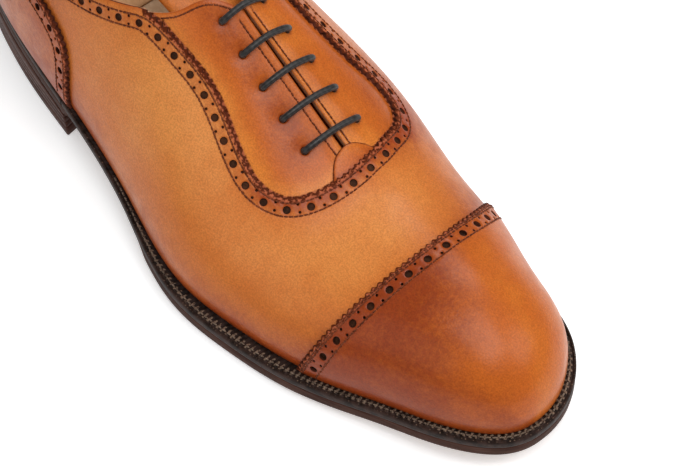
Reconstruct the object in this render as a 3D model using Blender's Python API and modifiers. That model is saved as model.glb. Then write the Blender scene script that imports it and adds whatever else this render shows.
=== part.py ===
"""A right-foot leather oxford shoe: welted sole, stacked heel, layered upper, tongue and shoelace.

Toe along +X, outer (lateral) side along -Y, ground at Z = 0. Sizes below are millimetres and are
turned to metres by MM. Every leather layer of the upper is the one lasted form, offset.
"""
import math

import bmesh
import bpy
import numpy as np
from mathutils import Matrix, Vector
from mathutils.geometry import delaunay_2d_cdt

MM = 0.001
OBJECT_NAME = "leather_oxford_shoe"

# ---- lasted form: stations along the shoe, then the value there -------------------------------
HEEL_X = -136.0
TOE_X = 141.0
LATERAL = [(-150, -32), (-115, -31.5), (-80, -38), (-45, -41.5), (-5, -46), (30, -51), (55, -47),
           (80, -40), (105, -29.5), (125, -25), (146, -21)]
MEDIAL = [(-150, 32), (-115, 32), (-80, 30), (-45, 29.5), (-5, 36), (30, 43), (60, 41), (80, 39),
          (105, 33.5), (125, 34), (146, 31)]
RIDGE_Y = [(-150, -1), (-80, -1), (-30, 0), (20, 5), (70, 7), (110, 5), (146, 1)]
RIDGE_Z = [(-150, 124), (-110, 124), (-75, 120), (-45, 108), (-10, 84), (30, 57), (60, 44),
           (90, 43.5), (115, 43.5), (146, 44)]
BULGE_LATERAL = [(-150, 0.06), (-60, 0.06), (20, 0.08), (60, 0.09), (146, 0.10)]
BULGE_MEDIAL = [(-150, 0.06), (-70, 0.20), (-40, 0.42), (0, 0.42), (30, 0.22), (60, 0.12), (146, 0.10)]
SIDE_FULLNESS = [(-150, 0.46), (-70, 0.38), (-30, 0.39), (10, 0.48), (50, 0.55), (90, 0.59), (146, 0.62)]
TOP_FULLNESS = [(-150, 0.85), (-110, 0.76), (-70, 0.49), (-30, 0.33), (10, 0.40), (50, 0.49),
                (90, 0.55), (146, 0.60)]
SOLE_Z = [(-152.5, 20), (-115, 18.5), (-80, 17), (-50, 13.5), (-20, 7.5), (8, 2.4), (35, 0.4),
          (60, 0.4), (90, 2.2), (120, 5.6), (152.5, 9.2)]
BACK_LEAN = [(0, 0), (20, -3), (40, -2), (62, 3.5), (110, 14)]
TOE_ROUND_PLAN = 52.5
TOE_ROUND_HEIGHT = 42.0
HEEL_ROUND_PLAN = 46.0
LEAN_FROM_X = -74.0

# ---- layers, measured outwards from the vamp's outer face -----------------------------------------
CAP_LAYER = (0.3, 1.5)
VAMP_LAYER = (-1.2, 0.0)
INNER_LAYER = (-2.5, -1.5)
LINING_LAYER = (-3.8, -2.8)
TONGUE_THICKNESS = 2.0
GAP = 0.3

# ---- bottom ---------------------------------------------------------------------------------------
OUTSOLE_THICKNESS = 5.0
WELT_THICKNESS = 3.0
INSOLE_THICKNESS = 3.0
FEATHER_RISE = OUTSOLE_THICKNESS + WELT_THICKNESS + GAP + 0.5
SOLE_MARGIN = [(-150, 1.3), (-80, 1.4), (-50, 1.9), (-10, 2.3), (40, 4.7), (100, 4.7), (146, 4.7)]
HEEL_TAPER = 2.0
BREAST_X = -45.5
TOP_PIECE_THICKNESS = 4.8
LIFT_THICKNESS = 2.7
RUBBER_SPLIT_X = -99.0
NAIL_DIAMETER = 2.2
NAIL_HOLE = 3.4
NAILS = [(-122, 0), (-110, -16), (-110, 16), (-80, -21), (-80, 19)]

# ---- pattern lines on the form: station along the shoe, then height round it (-1 lateral feather
# ---- edge, 0 ridge, +1 medial feather edge) -----------------------------------------------------
THROAT = [(-22, -0.39), (-18, -0.37), (-6, -0.33), (7, -0.30), (17, -0.31), (28, -0.335), (35, -0.34),
          (40, -0.325), (45, -0.28), (47.5, -0.22), (49, -0.13), (49, -0.04), (48, 0.06), (47, 0.15),
          (45, 0.25), (42.5, 0.36), (39, 0.43), (35, 0.46), (30, 0.46), (22, 0.41), (11, 0.365),
          (-2, 0.345), (-14, 0.36), (-22, 0.39)]
CAP_LINE = [(78, -1), (80.5, -0.85), (82.5, -0.65), (84, -0.4), (84.7, -0.1), (84, 0.1), (81, 0.4),
            (75.5, 0.7), (71, 1)]
COUNTER_HEIGHT = [(-136, 72.5), (-120, 71), (-98, 67), (-75, 62), (-60, 57.5), (-53, 54.5), (-48, 51.5)]
COUNTER_FRONT = [(-44.5, 48), (-42.3, 43), (-41, 36), (-41, 27), (-41, 20)]
COLLAR_HEIGHT = [(-136, 91.5), (-126, 89), (-110, 83), (-96, 77), (-80, 72.5), (-62, 70), (-45, 71),
                 (-31, 73.8), (-22, 76.2)]
FACING_TOP = [(-22, 0.40), (-14, 0.28), (-11, 0.18), (-7, 0.09), (-3.5, 0.035)]
FACING_OUTER_LATERAL = [(53.5, -0.02), (53.5, -0.20), (50, -0.34), (44, -0.42), (36, -0.44), (28, -0.43),
                        (17, -0.40), (7, -0.385), (-6, -0.41), (-22, -0.46)]
FACING_OUTER_MEDIAL = [(53.5, 0.02), (53.5, 0.18), (50, 0.34), (45, 0.48), (38, 0.56), (30, 0.57),
                       (22, 0.52), (11, 0.46), (-2, 0.44), (-22, 0.46)]
LACING_HALF_GAP = 0.013
EYELET_X = [-3, 7, 17, 27, 37.5]
EYELET_LATERAL = -0.14
EYELET_MEDIAL = 0.18
EYELET_HOLE = 5.0
EYELET_BARREL = 4.0
EYELET_BORE = 3.0
EYELET_FLANGE = 7.0
LACE_DIAMETER = 2.4
TONGUE_BASE_X = 52.0
TONGUE_TOP_X = -28.0
TONGUE_DEPTH = -8.2
TONGUE_BASE_DEPTH = -4.6
TONGUE_CROWN_DROP = 8.0

CENTRE_SHIFT = (-2.77, 3.87)

ROWS = 46
COLUMNS = 24
SOLE_STEP = 11.0


def curve_through(points):
    """Natural cubic spline through the points, as a function held level beyond its ends."""
    x, y = np.array(points, float).T
    n = len(x)
    h = np.diff(x)
    a = np.eye(n)
    r = np.zeros(n)
    for i in range(1, n - 1):
        a[i, i - 1:i + 2] = h[i - 1], 2 * (h[i - 1] + h[i]), h[i]
        r[i] = 6 * ((y[i + 1] - y[i]) / h[i] - (y[i] - y[i - 1]) / h[i - 1])
    m = np.linalg.solve(a, r)

    def value(q):
        q = np.clip(np.asarray(q, float), x[0], x[-1])
        i = np.clip(np.searchsorted(x, q) - 1, 0, n - 2)
        t = q - x[i]
        u = x[i + 1] - q
        k = h[i]
        bend = (m[i] * u**3 + m[i + 1] * t**3) / (6 * k)
        return bend + (y[i] / k - m[i] * k / 6) * u + (y[i + 1] / k - m[i + 1] * k / 6) * t

    return value


def smooth_path(points, steps):
    """Points along a smooth curve through the given ones, corners rounded."""
    p = np.array(points, float)
    along = np.concatenate([[0], np.cumsum(np.linalg.norm(np.diff(p, axis=0), axis=1) + 1e-9)])
    q = np.linspace(0, along[-1], steps)
    return np.stack([curve_through(np.stack([along, c], 1))(q) for c in p.T], 1)


lateral_y = curve_through(LATERAL)
medial_y = curve_through(MEDIAL)
ridge_y = curve_through(RIDGE_Y)
ridge_z = curve_through(RIDGE_Z)
bulge_lateral = curve_through(BULGE_LATERAL)
bulge_medial = curve_through(BULGE_MEDIAL)
side_fullness = curve_through(SIDE_FULLNESS)
top_fullness = curve_through(TOP_FULLNESS)
sole_z = curve_through(SOLE_Z)
sole_margin = curve_through(SOLE_MARGIN)
back_lean = curve_through(BACK_LEAN)
collar_z = curve_through(COLLAR_HEIGHT)
counter_z = curve_through(COUNTER_HEIGHT)


def closing(distance, length, power):
    """Rounded end: 0 at the end itself, 1 from the given length inwards."""
    t = np.clip(1 - distance / length, 0, 1)
    return (1 - t**power) ** (1 / power)


def form(x, g):
    """Point of the vamp's outer face at station x and girth position g, in mm."""
    x = np.asarray(x, float)
    g = np.asarray(g, float)
    t = 1 - np.abs(g)
    u = 1 - t
    plan = closing(TOE_X - x, TOE_ROUND_PLAN, 2.25) * closing(x - HEEL_X, HEEL_ROUND_PLAN, 2.2)
    rise = closing(TOE_X - x, TOE_ROUND_HEIGHT, 2.3)
    middle = ridge_y(x)
    half = np.where(g < 0, middle - lateral_y(x), medial_y(x) - middle) * plan
    bulge = np.where(g < 0, bulge_lateral(x), bulge_medial(x))
    foot = sole_z(x) + FEATHER_RISE
    height = (ridge_z(x) - foot) * rise
    across = u**3 + 3 * u * u * t * (1 + bulge) + 3 * u * t * t * top_fullness(x)
    up = 3 * u * u * t * side_fullness(x) + 3 * u * t * t + t**3
    y = middle + np.sign(g) * half * across
    z = foot + height * up
    s = np.clip((LEAN_FROM_X - x) / (LEAN_FROM_X - HEEL_X), 0, 1)
    return np.stack([x + s * s * (3 - 2 * s) * back_lean(z - foot), y, z], -1)


def row_of(x):
    """Lattice row coordinate of station x."""
    part = np.clip((np.asarray(x, float) - HEEL_X) / (TOE_X - HEEL_X), 0, 1)
    return np.arccos(1 - 2 * part) / math.pi * ROWS


def station_of(row):
    """Station x of a lattice row coordinate."""
    return HEEL_X + (TOE_X - HEEL_X) * (1 - np.cos(np.asarray(row, float) / ROWS * math.pi)) / 2


def column_of(g):
    return (np.asarray(g, float) + 1) * COLUMNS / 2


def girth_of(column):
    return np.asarray(column, float) * 2 / COLUMNS - 1


def form_normal(row, column):
    """Outward unit normal of the form at a lattice position."""
    row = np.clip(np.asarray(row, float), 0.02, ROWS - 0.02)
    column = np.asarray(column, float)
    column = np.where(np.abs(column - COLUMNS / 2) < 1e-3, COLUMNS / 2 + 1e-3, column)
    low = np.clip(column - 0.01, 0, COLUMNS)
    high = np.clip(column + 0.01, 0, COLUMNS)
    along = form(station_of(row + 0.01), girth_of(column)) - form(station_of(row - 0.01), girth_of(column))
    around = form(station_of(row), girth_of(high)) - form(station_of(row), girth_of(low))
    n = np.cross(along, around)
    return n / np.linalg.norm(n, axis=-1, keepdims=True)


GRID_ROW, GRID_COLUMN = np.meshgrid(np.arange(ROWS + 1.0), np.arange(COLUMNS + 1.0), indexing="ij")
GRID_POINT = form(station_of(GRID_ROW), girth_of(GRID_COLUMN))
GRID_NORMAL = form_normal(GRID_ROW, GRID_COLUMN)
GRID_NORMAL[ROWS] = (1, 0, 0)
for feather_column in (0, COLUMNS):
    GRID_NORMAL[:, feather_column, 2] = 0
    length = np.linalg.norm(GRID_NORMAL[:, feather_column], axis=1, keepdims=True)
    GRID_NORMAL[:, feather_column] /= length
for seam_column in range(COLUMNS // 2 + 1):
    both = GRID_NORMAL[0, seam_column] + GRID_NORMAL[0, COLUMNS - seam_column]
    both[1] = 0
    GRID_NORMAL[0, seam_column] = both / np.linalg.norm(both)
    GRID_NORMAL[0, COLUMNS - seam_column] = GRID_NORMAL[0, seam_column]


def on_form(row, column, offset):
    """Point of the faceted form moved outwards by offset mm, at lattice coordinates."""
    row = min(max(row, 0.0), float(ROWS))
    column = min(max(column, 0.0), float(COLUMNS))
    i = min(int(row), ROWS - 1)
    j = min(int(column), COLUMNS - 1)
    a = row - i
    b = column - j
    if a >= b:
        parts = ((i, j, 1 - a), (i + 1, j, a - b), (i + 1, j + 1, b))
    else:
        parts = ((i, j, 1 - b), (i, j + 1, b - a), (i + 1, j + 1, a))
    point = sum(GRID_POINT[p, q] * w for p, q, w in parts)
    normal = sum(GRID_NORMAL[p, q] * w for p, q, w in parts)
    return point + normal * offset


def girth_at_height(x, z, side):
    """Girth position on one side of the form whose height there is z."""
    low, high = 1.0, 0.0
    for _ in range(40):
        mid = (low + high) / 2
        if form(x, side * mid)[2] < z:
            low = mid
        else:
            high = mid
    return side * (low + high) / 2


# ---- scene helpers --------------------------------------------------------------------------------
def clear_scene():
    for item in list(bpy.data.objects):
        bpy.data.objects.remove(item, do_unlink=True)


def new_collection(name, hidden=False):
    group = bpy.data.collections.new(name)
    bpy.context.scene.collection.children.link(group)
    group.hide_render = hidden
    return group


def material(name, colour, roughness, metallic=0.0):
    made = bpy.data.materials.get(name)
    if made is None:
        made = bpy.data.materials.new(name)
        made.use_nodes = True
        shader = made.node_tree.nodes["Principled BSDF"]
        shader.inputs["Base Color"].default_value = (*colour, 1)
        shader.inputs["Roughness"].default_value = roughness
        shader.inputs["Metallic"].default_value = metallic
    return made


def add_object(name, mesh, surface, group):
    made = bpy.data.objects.new(name, mesh)
    made.data.materials.clear()
    made.data.materials.append(surface)
    group.objects.link(made)
    return made


def put_origin(made, position):
    """Move an object's origin to a position in metres, its shape staying where it is."""
    here = Vector(position)
    made.data.transform(Matrix.Translation(-here))
    made.location = here


def mesh_from(name, points, faces):
    mesh = bpy.data.meshes.new(name)
    mesh.from_pydata([tuple(p) for p in points], [], faces)
    work = bmesh.new()
    work.from_mesh(mesh)
    bmesh.ops.remove_doubles(work, verts=work.verts, dist=2e-5)
    bmesh.ops.dissolve_degenerate(work, edges=work.edges, dist=1e-6)
    loose = [v for v in work.verts if not v.link_faces]
    bmesh.ops.delete(work, geom=loose, context="VERTS")
    bmesh.ops.recalc_face_normals(work, faces=work.faces)
    work.to_mesh(mesh)
    work.free()
    return mesh


def inside(point, loop):
    """Even-odd test of a point against one closed loop."""
    x, y = point
    a = loop
    b = np.roll(loop, -1, axis=0)
    crosses = (a[:, 1] > y) != (b[:, 1] > y)
    if not crosses.any():
        return False
    a, b = a[crosses], b[crosses]
    run = a[:, 0] + (y - a[:, 1]) * (b[:, 0] - a[:, 0]) / (b[:, 1] - a[:, 1])
    return bool((run > x).sum() % 2)


def cut_sheet(outline, holes, lattice_points, lattice_edges):
    """Triangles covering the outline less the holes, following the lattice lines."""
    points = [Vector(p) for p in lattice_points]
    edges = list(lattice_edges)
    loops = [np.array(outline, float)] + [np.array(h, float) for h in holes]
    for loop in loops:
        first = len(points)
        points += [Vector(p) for p in loop]
        count = len(loop)
        edges += [(first + k, first + (k + 1) % count) for k in range(count)]
    verts, _, faces, _, _, _ = delaunay_2d_cdt(points, edges, [], 0, 1e-5)
    kept = []
    for face in faces:
        middle = sum((verts[k] for k in face), Vector((0, 0))) / len(face)
        if inside(middle, loops[0]) and not any(inside(middle, h) for h in loops[1:]):
            kept.append(tuple(face))
    return [np.array(v) for v in verts], kept


def form_lattice(outline):
    """Lattice points and edges of the form round an outline."""
    loop = np.array(outline)
    lo = np.clip(np.floor(loop.min(0)).astype(int), 0, None)
    hi = np.minimum(np.ceil(loop.max(0)).astype(int), (ROWS, COLUMNS))
    points = []
    index = {}
    for i in range(lo[0], hi[0] + 1):
        for j in range(lo[1], hi[1] + 1):
            index[i, j] = len(points)
            points.append((float(i), float(j)))
    edges = []
    for i, j in index:
        for other in ((i + 1, j), (i, j + 1), (i + 1, j + 1)):
            if other in index:
                edges.append((index[i, j], index[other]))
    return points, edges


def solidify(made, thickness):
    shell = made.modifiers.new("thickness", "SOLIDIFY")
    shell.thickness = thickness * MM
    shell.offset = -1.0
    shell.use_even_offset = False
    return shell


def form_piece(name, outline, layer, surface, group, holes=(), depth=None):
    """A leather piece: its outline on the form (station, girth), made into a shell of one layer."""
    loop = np.stack([row_of([p[0] for p in outline]), column_of([p[1] for p in outline])], 1)
    cuts = [np.stack([row_of([p[0] for p in h]), column_of([p[1] for p in h])], 1) for h in holes]
    points, edges = form_lattice(loop)
    flat, faces = cut_sheet(loop, cuts, points, edges)
    used = sorted({k for face in faces for k in face})
    place = {k: n for n, k in enumerate(used)}
    solid = []
    for k in used:
        x, g = float(station_of(flat[k][0])), float(girth_of(flat[k][1]))
        offset = layer[1] if depth is None else depth(x, g)
        solid.append(on_form(flat[k][0], flat[k][1], offset) * MM)
    mesh = mesh_from(name, solid, [tuple(place[k] for k in face) for face in faces])
    orient_outwards(mesh)
    made = add_object(name, mesh, surface, group)
    solidify(made, layer[1] - layer[0])
    return made


def orient_outwards(mesh):
    """Turn an open shell's faces so that they look away from the foot."""
    work = bmesh.new()
    work.from_mesh(mesh)
    total = 0.0
    for face in work.faces:
        middle = face.calc_center_median()
        x = middle.x / MM
        core = Vector((min(max(x, -120), 110), float(ridge_y(x)), float(sole_z(x)) + 30)) * MM
        total += face.calc_area() * face.normal.dot((middle - core).normalized())
    if total < 0:
        bmesh.ops.reverse_faces(work, faces=work.faces)
    work.to_mesh(mesh)
    work.free()


def line_pieces(points, spacing):
    """Evenly spaced points on a polyline given in (station, girth), spaced about so many mm."""
    p = np.array(points, float)
    fine = []
    for a, b in zip(p[:-1], p[1:]):
        fine += [a + (b - a) * k / 8 for k in range(8)]
    fine.append(p[-1])
    fine = np.array(fine)
    solid = form(fine[:, 0], fine[:, 1])
    along = np.concatenate([[0], np.cumsum(np.linalg.norm(np.diff(solid, axis=0), axis=1))])
    count = max(2, int(round(along[-1] / spacing)) + 1)
    q = np.linspace(0, along[-1], count)
    return [(float(np.interp(s, along, fine[:, 0])), float(np.interp(s, along, fine[:, 1]))) for s in q]


def shifted(points, distance):
    """A line on the form moved sideways by a distance in mm (positive to the left of its run)."""
    p = np.array(points, float)
    solid = form(p[:, 0], p[:, 1])
    tangent = np.gradient(solid, axis=0)
    normal = form_normal(row_of(p[:, 0]), column_of(p[:, 1]))
    side = np.cross(normal, tangent)
    side /= np.linalg.norm(side, axis=1, keepdims=True)
    moved = []
    for q, s in zip(p, side):
        moved.append(step_on_form(q, s * distance))
    return moved


def step_on_form(q, move):
    """Station and girth reached from q by a small move in mm along the surface."""
    x, g = float(q[0]), float(q[1])
    here = form(x, g)
    dx = (form(x + 0.2, g) - here) / 0.2
    dg = (form(x, g + 0.002) - here) / 0.002
    a = np.array([[dx @ dx, dx @ dg], [dx @ dg, dg @ dg]])
    u, v = np.linalg.solve(a, [dx @ move, dg @ move])
    return x + u, g + v


def round_hole(x, g, diameter, sides=12):
    """Outline of a round hole punched square to the form."""
    n = form_normal(row_of(x), column_of(g))
    e1 = np.cross(n, (0, 1, 0))
    e1 /= np.linalg.norm(e1)
    e2 = np.cross(n, e1)
    ring = []
    for k in range(sides):
        a = 2 * math.pi * k / sides
        ring.append(step_on_form((x, g), (e1 * math.cos(a) + e2 * math.sin(a)) * diameter / 2))
    return ring


# ---- upper ----------------------------------------------------------------------------------------
def collar_line(side, first, last, drop, count):
    """Points of the collar edge on one side, lowered by drop mm."""
    out = []
    for x in np.linspace(first, last, count):
        out.append((float(x), girth_at_height(float(x), float(collar_z(x)) - drop, side)))
    return out


def feather_line(side, first, last, count):
    return [(float(x), float(side)) for x in np.linspace(first, last, count)]


def throat_line(distance=0.0):
    line = [tuple(p) for p in smooth_path(THROAT, 64)]
    return shifted(line, distance) if distance else line


def build_vamp(leather, group):
    """The large plain piece: under the cap, round the throat, up to the collar and round the back."""
    throat = throat_line()
    cap_under = [(x + 8.5, g) for x, g in line_pieces(CAP_LINE, 5)]
    outline = list(cap_under)
    outline += feather_line(1, cap_under[-1][0] - 6, HEEL_X, 46)
    outline += [(HEEL_X, girth_at_height(HEEL_X, float(collar_z(HEEL_X)), 1))]
    outline += collar_line(1, HEEL_X + 1, throat[-1][0] - 3, 0, 26)
    outline += throat[::-1]
    outline += collar_line(-1, throat[0][0] - 3, HEEL_X + 1, 0, 26)
    outline += [(HEEL_X, girth_at_height(HEEL_X, float(collar_z(HEEL_X)), -1))]
    outline += feather_line(-1, HEEL_X, cap_under[0][0] - 6, 46)
    return form_piece("vamp", outline, VAMP_LAYER, leather, group)


def build_cap(leather, group):
    outline = line_pieces(CAP_LINE, 4)
    outline += feather_line(1, outline[-1][0] + 5, TOE_X, 14)
    outline += feather_line(-1, TOE_X, outline[0][0] + 5, 14)
    return form_piece("toe_cap", outline, CAP_LAYER, leather, group)


def build_toe_puff(stiffener, group):
    line = [(x + 10.5, g) for x, g in line_pieces(CAP_LINE, 5)]
    outline = list(line)
    outline += feather_line(1, line[-1][0] + 5, TOE_X, 12)
    outline += feather_line(-1, TOE_X, line[0][0] + 5, 12)
    return form_piece("toe_puff", outline, INNER_LAYER, stiffener, group)


def counter_side(side):
    """Counter's edge on one side, from the back seam forwards and down to the feather edge."""
    top = []
    for x in np.linspace(HEEL_X, -48, 22):
        top.append((float(x), girth_at_height(float(x), float(counter_z(x)), side)))
    front = [(x, girth_at_height(x, z, side)) for x, z in COUNTER_FRONT]
    return top + line_pieces(front, 5) + [(COUNTER_FRONT[-1][0], float(side))]


def build_counter(leather, group):
    lateral = counter_side(-1)
    medial = counter_side(1)
    outline = lateral + feather_line(-1, -48, HEEL_X, 18)
    outline += feather_line(1, HEEL_X, -48, 18) + medial[::-1]
    return form_piece("heel_counter_cover", outline, CAP_LAYER, leather, group)


def build_stiffener(board, group):
    def edge(side):
        line = []
        for x in np.linspace(HEEL_X, -66, 17):
            line.append((float(x), girth_at_height(float(x), float(counter_z(x)) - 7, side)))
        front = [(-61, girth_at_height(-61, 42, side)), (-59.5, girth_at_height(-59.5, 34, side))]
        return line + front + [(-59, float(side))]

    outline = edge(-1) + feather_line(-1, -66, HEEL_X, 16)
    outline += feather_line(1, HEEL_X, -66, 16) + edge(1)[::-1]
    return form_piece("heel_stiffener", outline, INNER_LAYER, board, group)


def eyelet_holes(side):
    g = EYELET_LATERAL if side < 0 else EYELET_MEDIAL
    return [round_hole(x, g, EYELET_HOLE) for x in EYELET_X]


def facing_top(side, drop=0.0):
    """Facing's top edge on one side, from the collar to the lacing gap."""
    line = line_pieces([(x, side * g) for x, g in FACING_TOP], 3)
    return shifted(line, side * drop) if drop else line


def build_facing(side, name, leather, group):
    """Eyelet stay: from the lacing gap out under the vamp's throat edge."""
    hidden = line_pieces(FACING_OUTER_LATERAL if side < 0 else FACING_OUTER_MEDIAL, 5)
    gap_line = [(float(x), side * LACING_HALF_GAP) for x in np.linspace(-2, 52, 14)]
    outline = gap_line + hidden + facing_top(side)
    return form_piece(name, outline, INNER_LAYER, leather, group, eyelet_holes(side))


def build_throat_tab(leather, group):
    edge = [p for p in throat_line(0.45) if -0.135 < p[1] < 0.17 and p[0] > 40]
    arc = smooth_path([edge[-1], (44.0, 0.085), (42.8, 0.02), (43.6, -0.045), edge[0]], 14)
    outline = edge + [tuple(p) for p in arc[1:-1]]
    return form_piece("throat_tab", outline, (-1.2, -0.2), leather, group)


def build_linings(vamp_lining, quarter_lining, group):
    split = 56.0
    outline = [(split, float(g)) for g in np.linspace(-1, 1, 40)]
    outline += feather_line(1, split + 6, TOE_X, 20) + feather_line(-1, TOE_X, split + 6, 20)
    form_piece("vamp_lining", outline, LINING_LAYER, vamp_lining, group)
    for side, name in ((-1, "quarter_lining_lateral"), (1, "quarter_lining_medial")):
        back = HEEL_X + 0.004
        edge = split - 0.35
        outline = [(edge, float(side * g)) for g in np.linspace(LACING_HALF_GAP, 1, 22)]
        outline += feather_line(side, edge - 6, back, 40)
        outline += [(back, girth_at_height(back, float(collar_z(back)) - 1.2, side))]
        outline += collar_line(side, HEEL_X + 1, -24, 1.2, 24)
        outline += [(x + 1.2, g) for x, g in facing_top(side)]
        outline += [(float(x), side * LACING_HALF_GAP) for x in np.linspace(2, edge - 4, 12)]
        form_piece(name, outline, LINING_LAYER, quarter_lining, group, eyelet_holes(side))


def build_tongue(leather, group):
    def depth(x, g):
        s = min(max((x - 41) / 10, 0), 1)
        free = min(max((4 - x) / 26, 0), 1)
        crown = max(1 - ((g - 0.015) / 0.36) ** 2, 0)
        rise = (TONGUE_BASE_DEPTH - TONGUE_DEPTH) * s * s * (3 - 2 * s)
        return TONGUE_DEPTH + rise - TONGUE_CROWN_DROP * free * crown

    side = [(TONGUE_TOP_X + 5, 0.38), (-15, 0.35), (0, 0.29), (20, 0.255), (40, 0.21), (TONGUE_BASE_X, 0.17)]
    lateral = line_pieces([(x, -g) for x, g in side], 6)
    medial = line_pieces([(x, g + 0.03) for x, g in side], 6)
    top = line_pieces([(TONGUE_TOP_X + 2, 0.36), (TONGUE_TOP_X + 0.5, 0.25), (TONGUE_TOP_X, 0.015),
                       (TONGUE_TOP_X + 0.5, -0.22), (TONGUE_TOP_X + 2, -0.33)], 5)
    outline = lateral + medial[::-1] + top
    made = form_piece("tongue", outline, (-TONGUE_THICKNESS, 0.0), leather, group, depth=depth)
    hinge = on_form(float(row_of(TONGUE_BASE_X - 1.5)), COLUMNS / 2, -5.0)
    put_origin(made, hinge * MM)
    return made


# ---- eyelets and shoelace ---------------------------------------------------------------------------
def eyelet_frame(x, g):
    """Surface point and outward normal of an eyelet, in mm."""
    point = on_form(float(row_of(x)), float(column_of(g)), 0.0)
    above = on_form(float(row_of(x)), float(column_of(g)), 1.0)
    normal = above - point
    return point, normal / np.linalg.norm(normal)


def build_eyelet(name, x, g, metal, group):
    """Blind eyelet: a barrel through facing and lining with its flange on the inside, turned."""
    point, normal = eyelet_frame(x, g)
    top = -1.7
    foot = LINING_LAYER[0] - 0.3
    bore = EYELET_BORE / 2
    barrel = EYELET_BARREL / 2
    flange = EYELET_FLANGE / 2
    rim = foot - 0.5
    profile = [(bore, top), (barrel, top), (barrel, foot), (flange, foot), (flange, rim), (bore, rim)]
    mesh = bpy.data.meshes.new(name)
    count = len(profile)
    edges = [(k, (k + 1) % count) for k in range(count)]
    mesh.from_pydata([(r * MM, 0, z * MM) for r, z in profile], edges, [])
    made = add_object(name, mesh, metal, group)
    turn = made.modifiers.new("turned", "SCREW")
    turn.axis = "Z"
    turn.steps = 12
    turn.render_steps = 12
    turn.use_merge_vertices = True
    turn.merge_threshold = 0.00001
    made.rotation_euler = Vector(normal).to_track_quat("Z", "Y").to_euler()
    made.location = Vector(point * MM)
    return made


def lace_points():
    """The shoelace's centre line: straight bars on top, its runs and both ends inside."""
    over = LACE_DIAMETER / 2 - 1.5 + GAP
    under = LINING_LAYER[0] - 0.5 - GAP - LACE_DIAMETER / 2 - 0.35

    def hole(side, row, depth, slip=0.0):
        g = EYELET_LATERAL if side < 0 else EYELET_MEDIAL
        x = EYELET_X[row]
        point, normal = eyelet_frame(x, g)
        across = np.cross(normal, (1, 0, 0))
        return point + normal * depth + across * slip

    def up(side, row):
        return [hole(side, row, under + 0.6), hole(side, row, -2.6), hole(side, row, over - 0.7)]

    def bar(side, row):
        """From the eyelet on this side over the gap to the other side."""
        start = up(side, row)
        end = up(-side, row)[::-1]
        top_a = start[-1]
        top_b = end[0]
        middle = []
        near, far = (EYELET_LATERAL, EYELET_MEDIAL) if side < 0 else (EYELET_MEDIAL, EYELET_LATERAL)
        for k in (0.12, 0.3, 0.5, 0.7, 0.88):
            point, normal = eyelet_frame(EYELET_X[row], near * (1 - k) + far * k)
            middle.append(point + normal * (over + 0.25))
        return start[:-1] + [top_a] + middle + [top_b] + end[1:]

    def run(side, first, last, slip):
        a = hole(side, first, under, slip)
        b = hole(side, last, under, slip)
        inner = []
        rows = range(first, last, 1 if last > first else -1)
        for row in list(rows)[1:]:
            inner.append(hole(side, row, under, slip))
        return [a] + inner + [b]

    tail_a = [(84, -13, 18.5), (75, -18, 17.5), (62, -22, 17), (44, -26, 17), (24, -26, 18),
              (10, -27, 23), (4, -28, 33), (2, -27, 44), (3, -23, 53)]
    tail_b = [(-6, 21, 59), (-5, 26, 50), (-3, 27, 40), (2, 26, 29), (14, 25, 20), (34, 27, 17),
              (54, 27, 17), (70, 23, 17.5), (80, 17, 18.5)]
    path = list(tail_a)
    path += [hole(-1, 1, under, -5)] + bar(-1, 1)
    path += run(1, 1, 3, 3.0)
    path += bar(1, 3)
    path += run(-1, 3, 4, 1.0)
    path += bar(-1, 4)
    path += run(1, 4, 2, -3.0)
    path += bar(1, 2)
    path += run(-1, 2, 0, 3.0)
    path += bar(-1, 0)
    path += [hole(1, 0, under, 3.0)]
    path += tail_b
    return [np.array(p, float) for p in path]


def build_lace(cord, tip, group):
    path = lace_points()
    line = bpy.data.curves.new("shoelace_line", "CURVE")
    line.dimensions = "3D"
    spline = line.splines.new("POLY")
    spline.points.add(len(path) - 1)
    for handle, p in zip(spline.points, path):
        handle.co = (*(p * MM), 1)
    line.bevel_depth = LACE_DIAMETER / 2 * MM
    line.bevel_resolution = 2
    line.use_fill_caps = True
    made = bpy.data.objects.new("shoelace", line)
    made.data.materials.append(cord)
    group.objects.link(made)
    ends = ((path[0], path[0] - path[1]), (path[-1], path[-1] - path[-2]))
    for number, (end, heading) in enumerate(ends, 1):
        heading = heading / np.linalg.norm(heading)
        middle = end + heading * (GAP + 10)
        add_rod("aglet_%d" % number, middle, heading, LACE_DIAMETER + 0.3, 20, 12, tip, group)
    return made


def add_rod(name, middle, heading, diameter, length, sides, surface, group):
    work = bmesh.new()
    bmesh.ops.create_cone(work, cap_ends=True, segments=sides, radius1=diameter / 2 * MM,
                          radius2=diameter / 2 * MM, depth=length * MM)
    mesh = bpy.data.meshes.new(name)
    work.to_mesh(mesh)
    work.free()
    made = add_object(name, mesh, surface, group)
    made.rotation_euler = Vector(heading).to_track_quat("Z", "Y").to_euler()
    made.location = Vector(np.asarray(middle, float) * MM)
    return made


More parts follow.
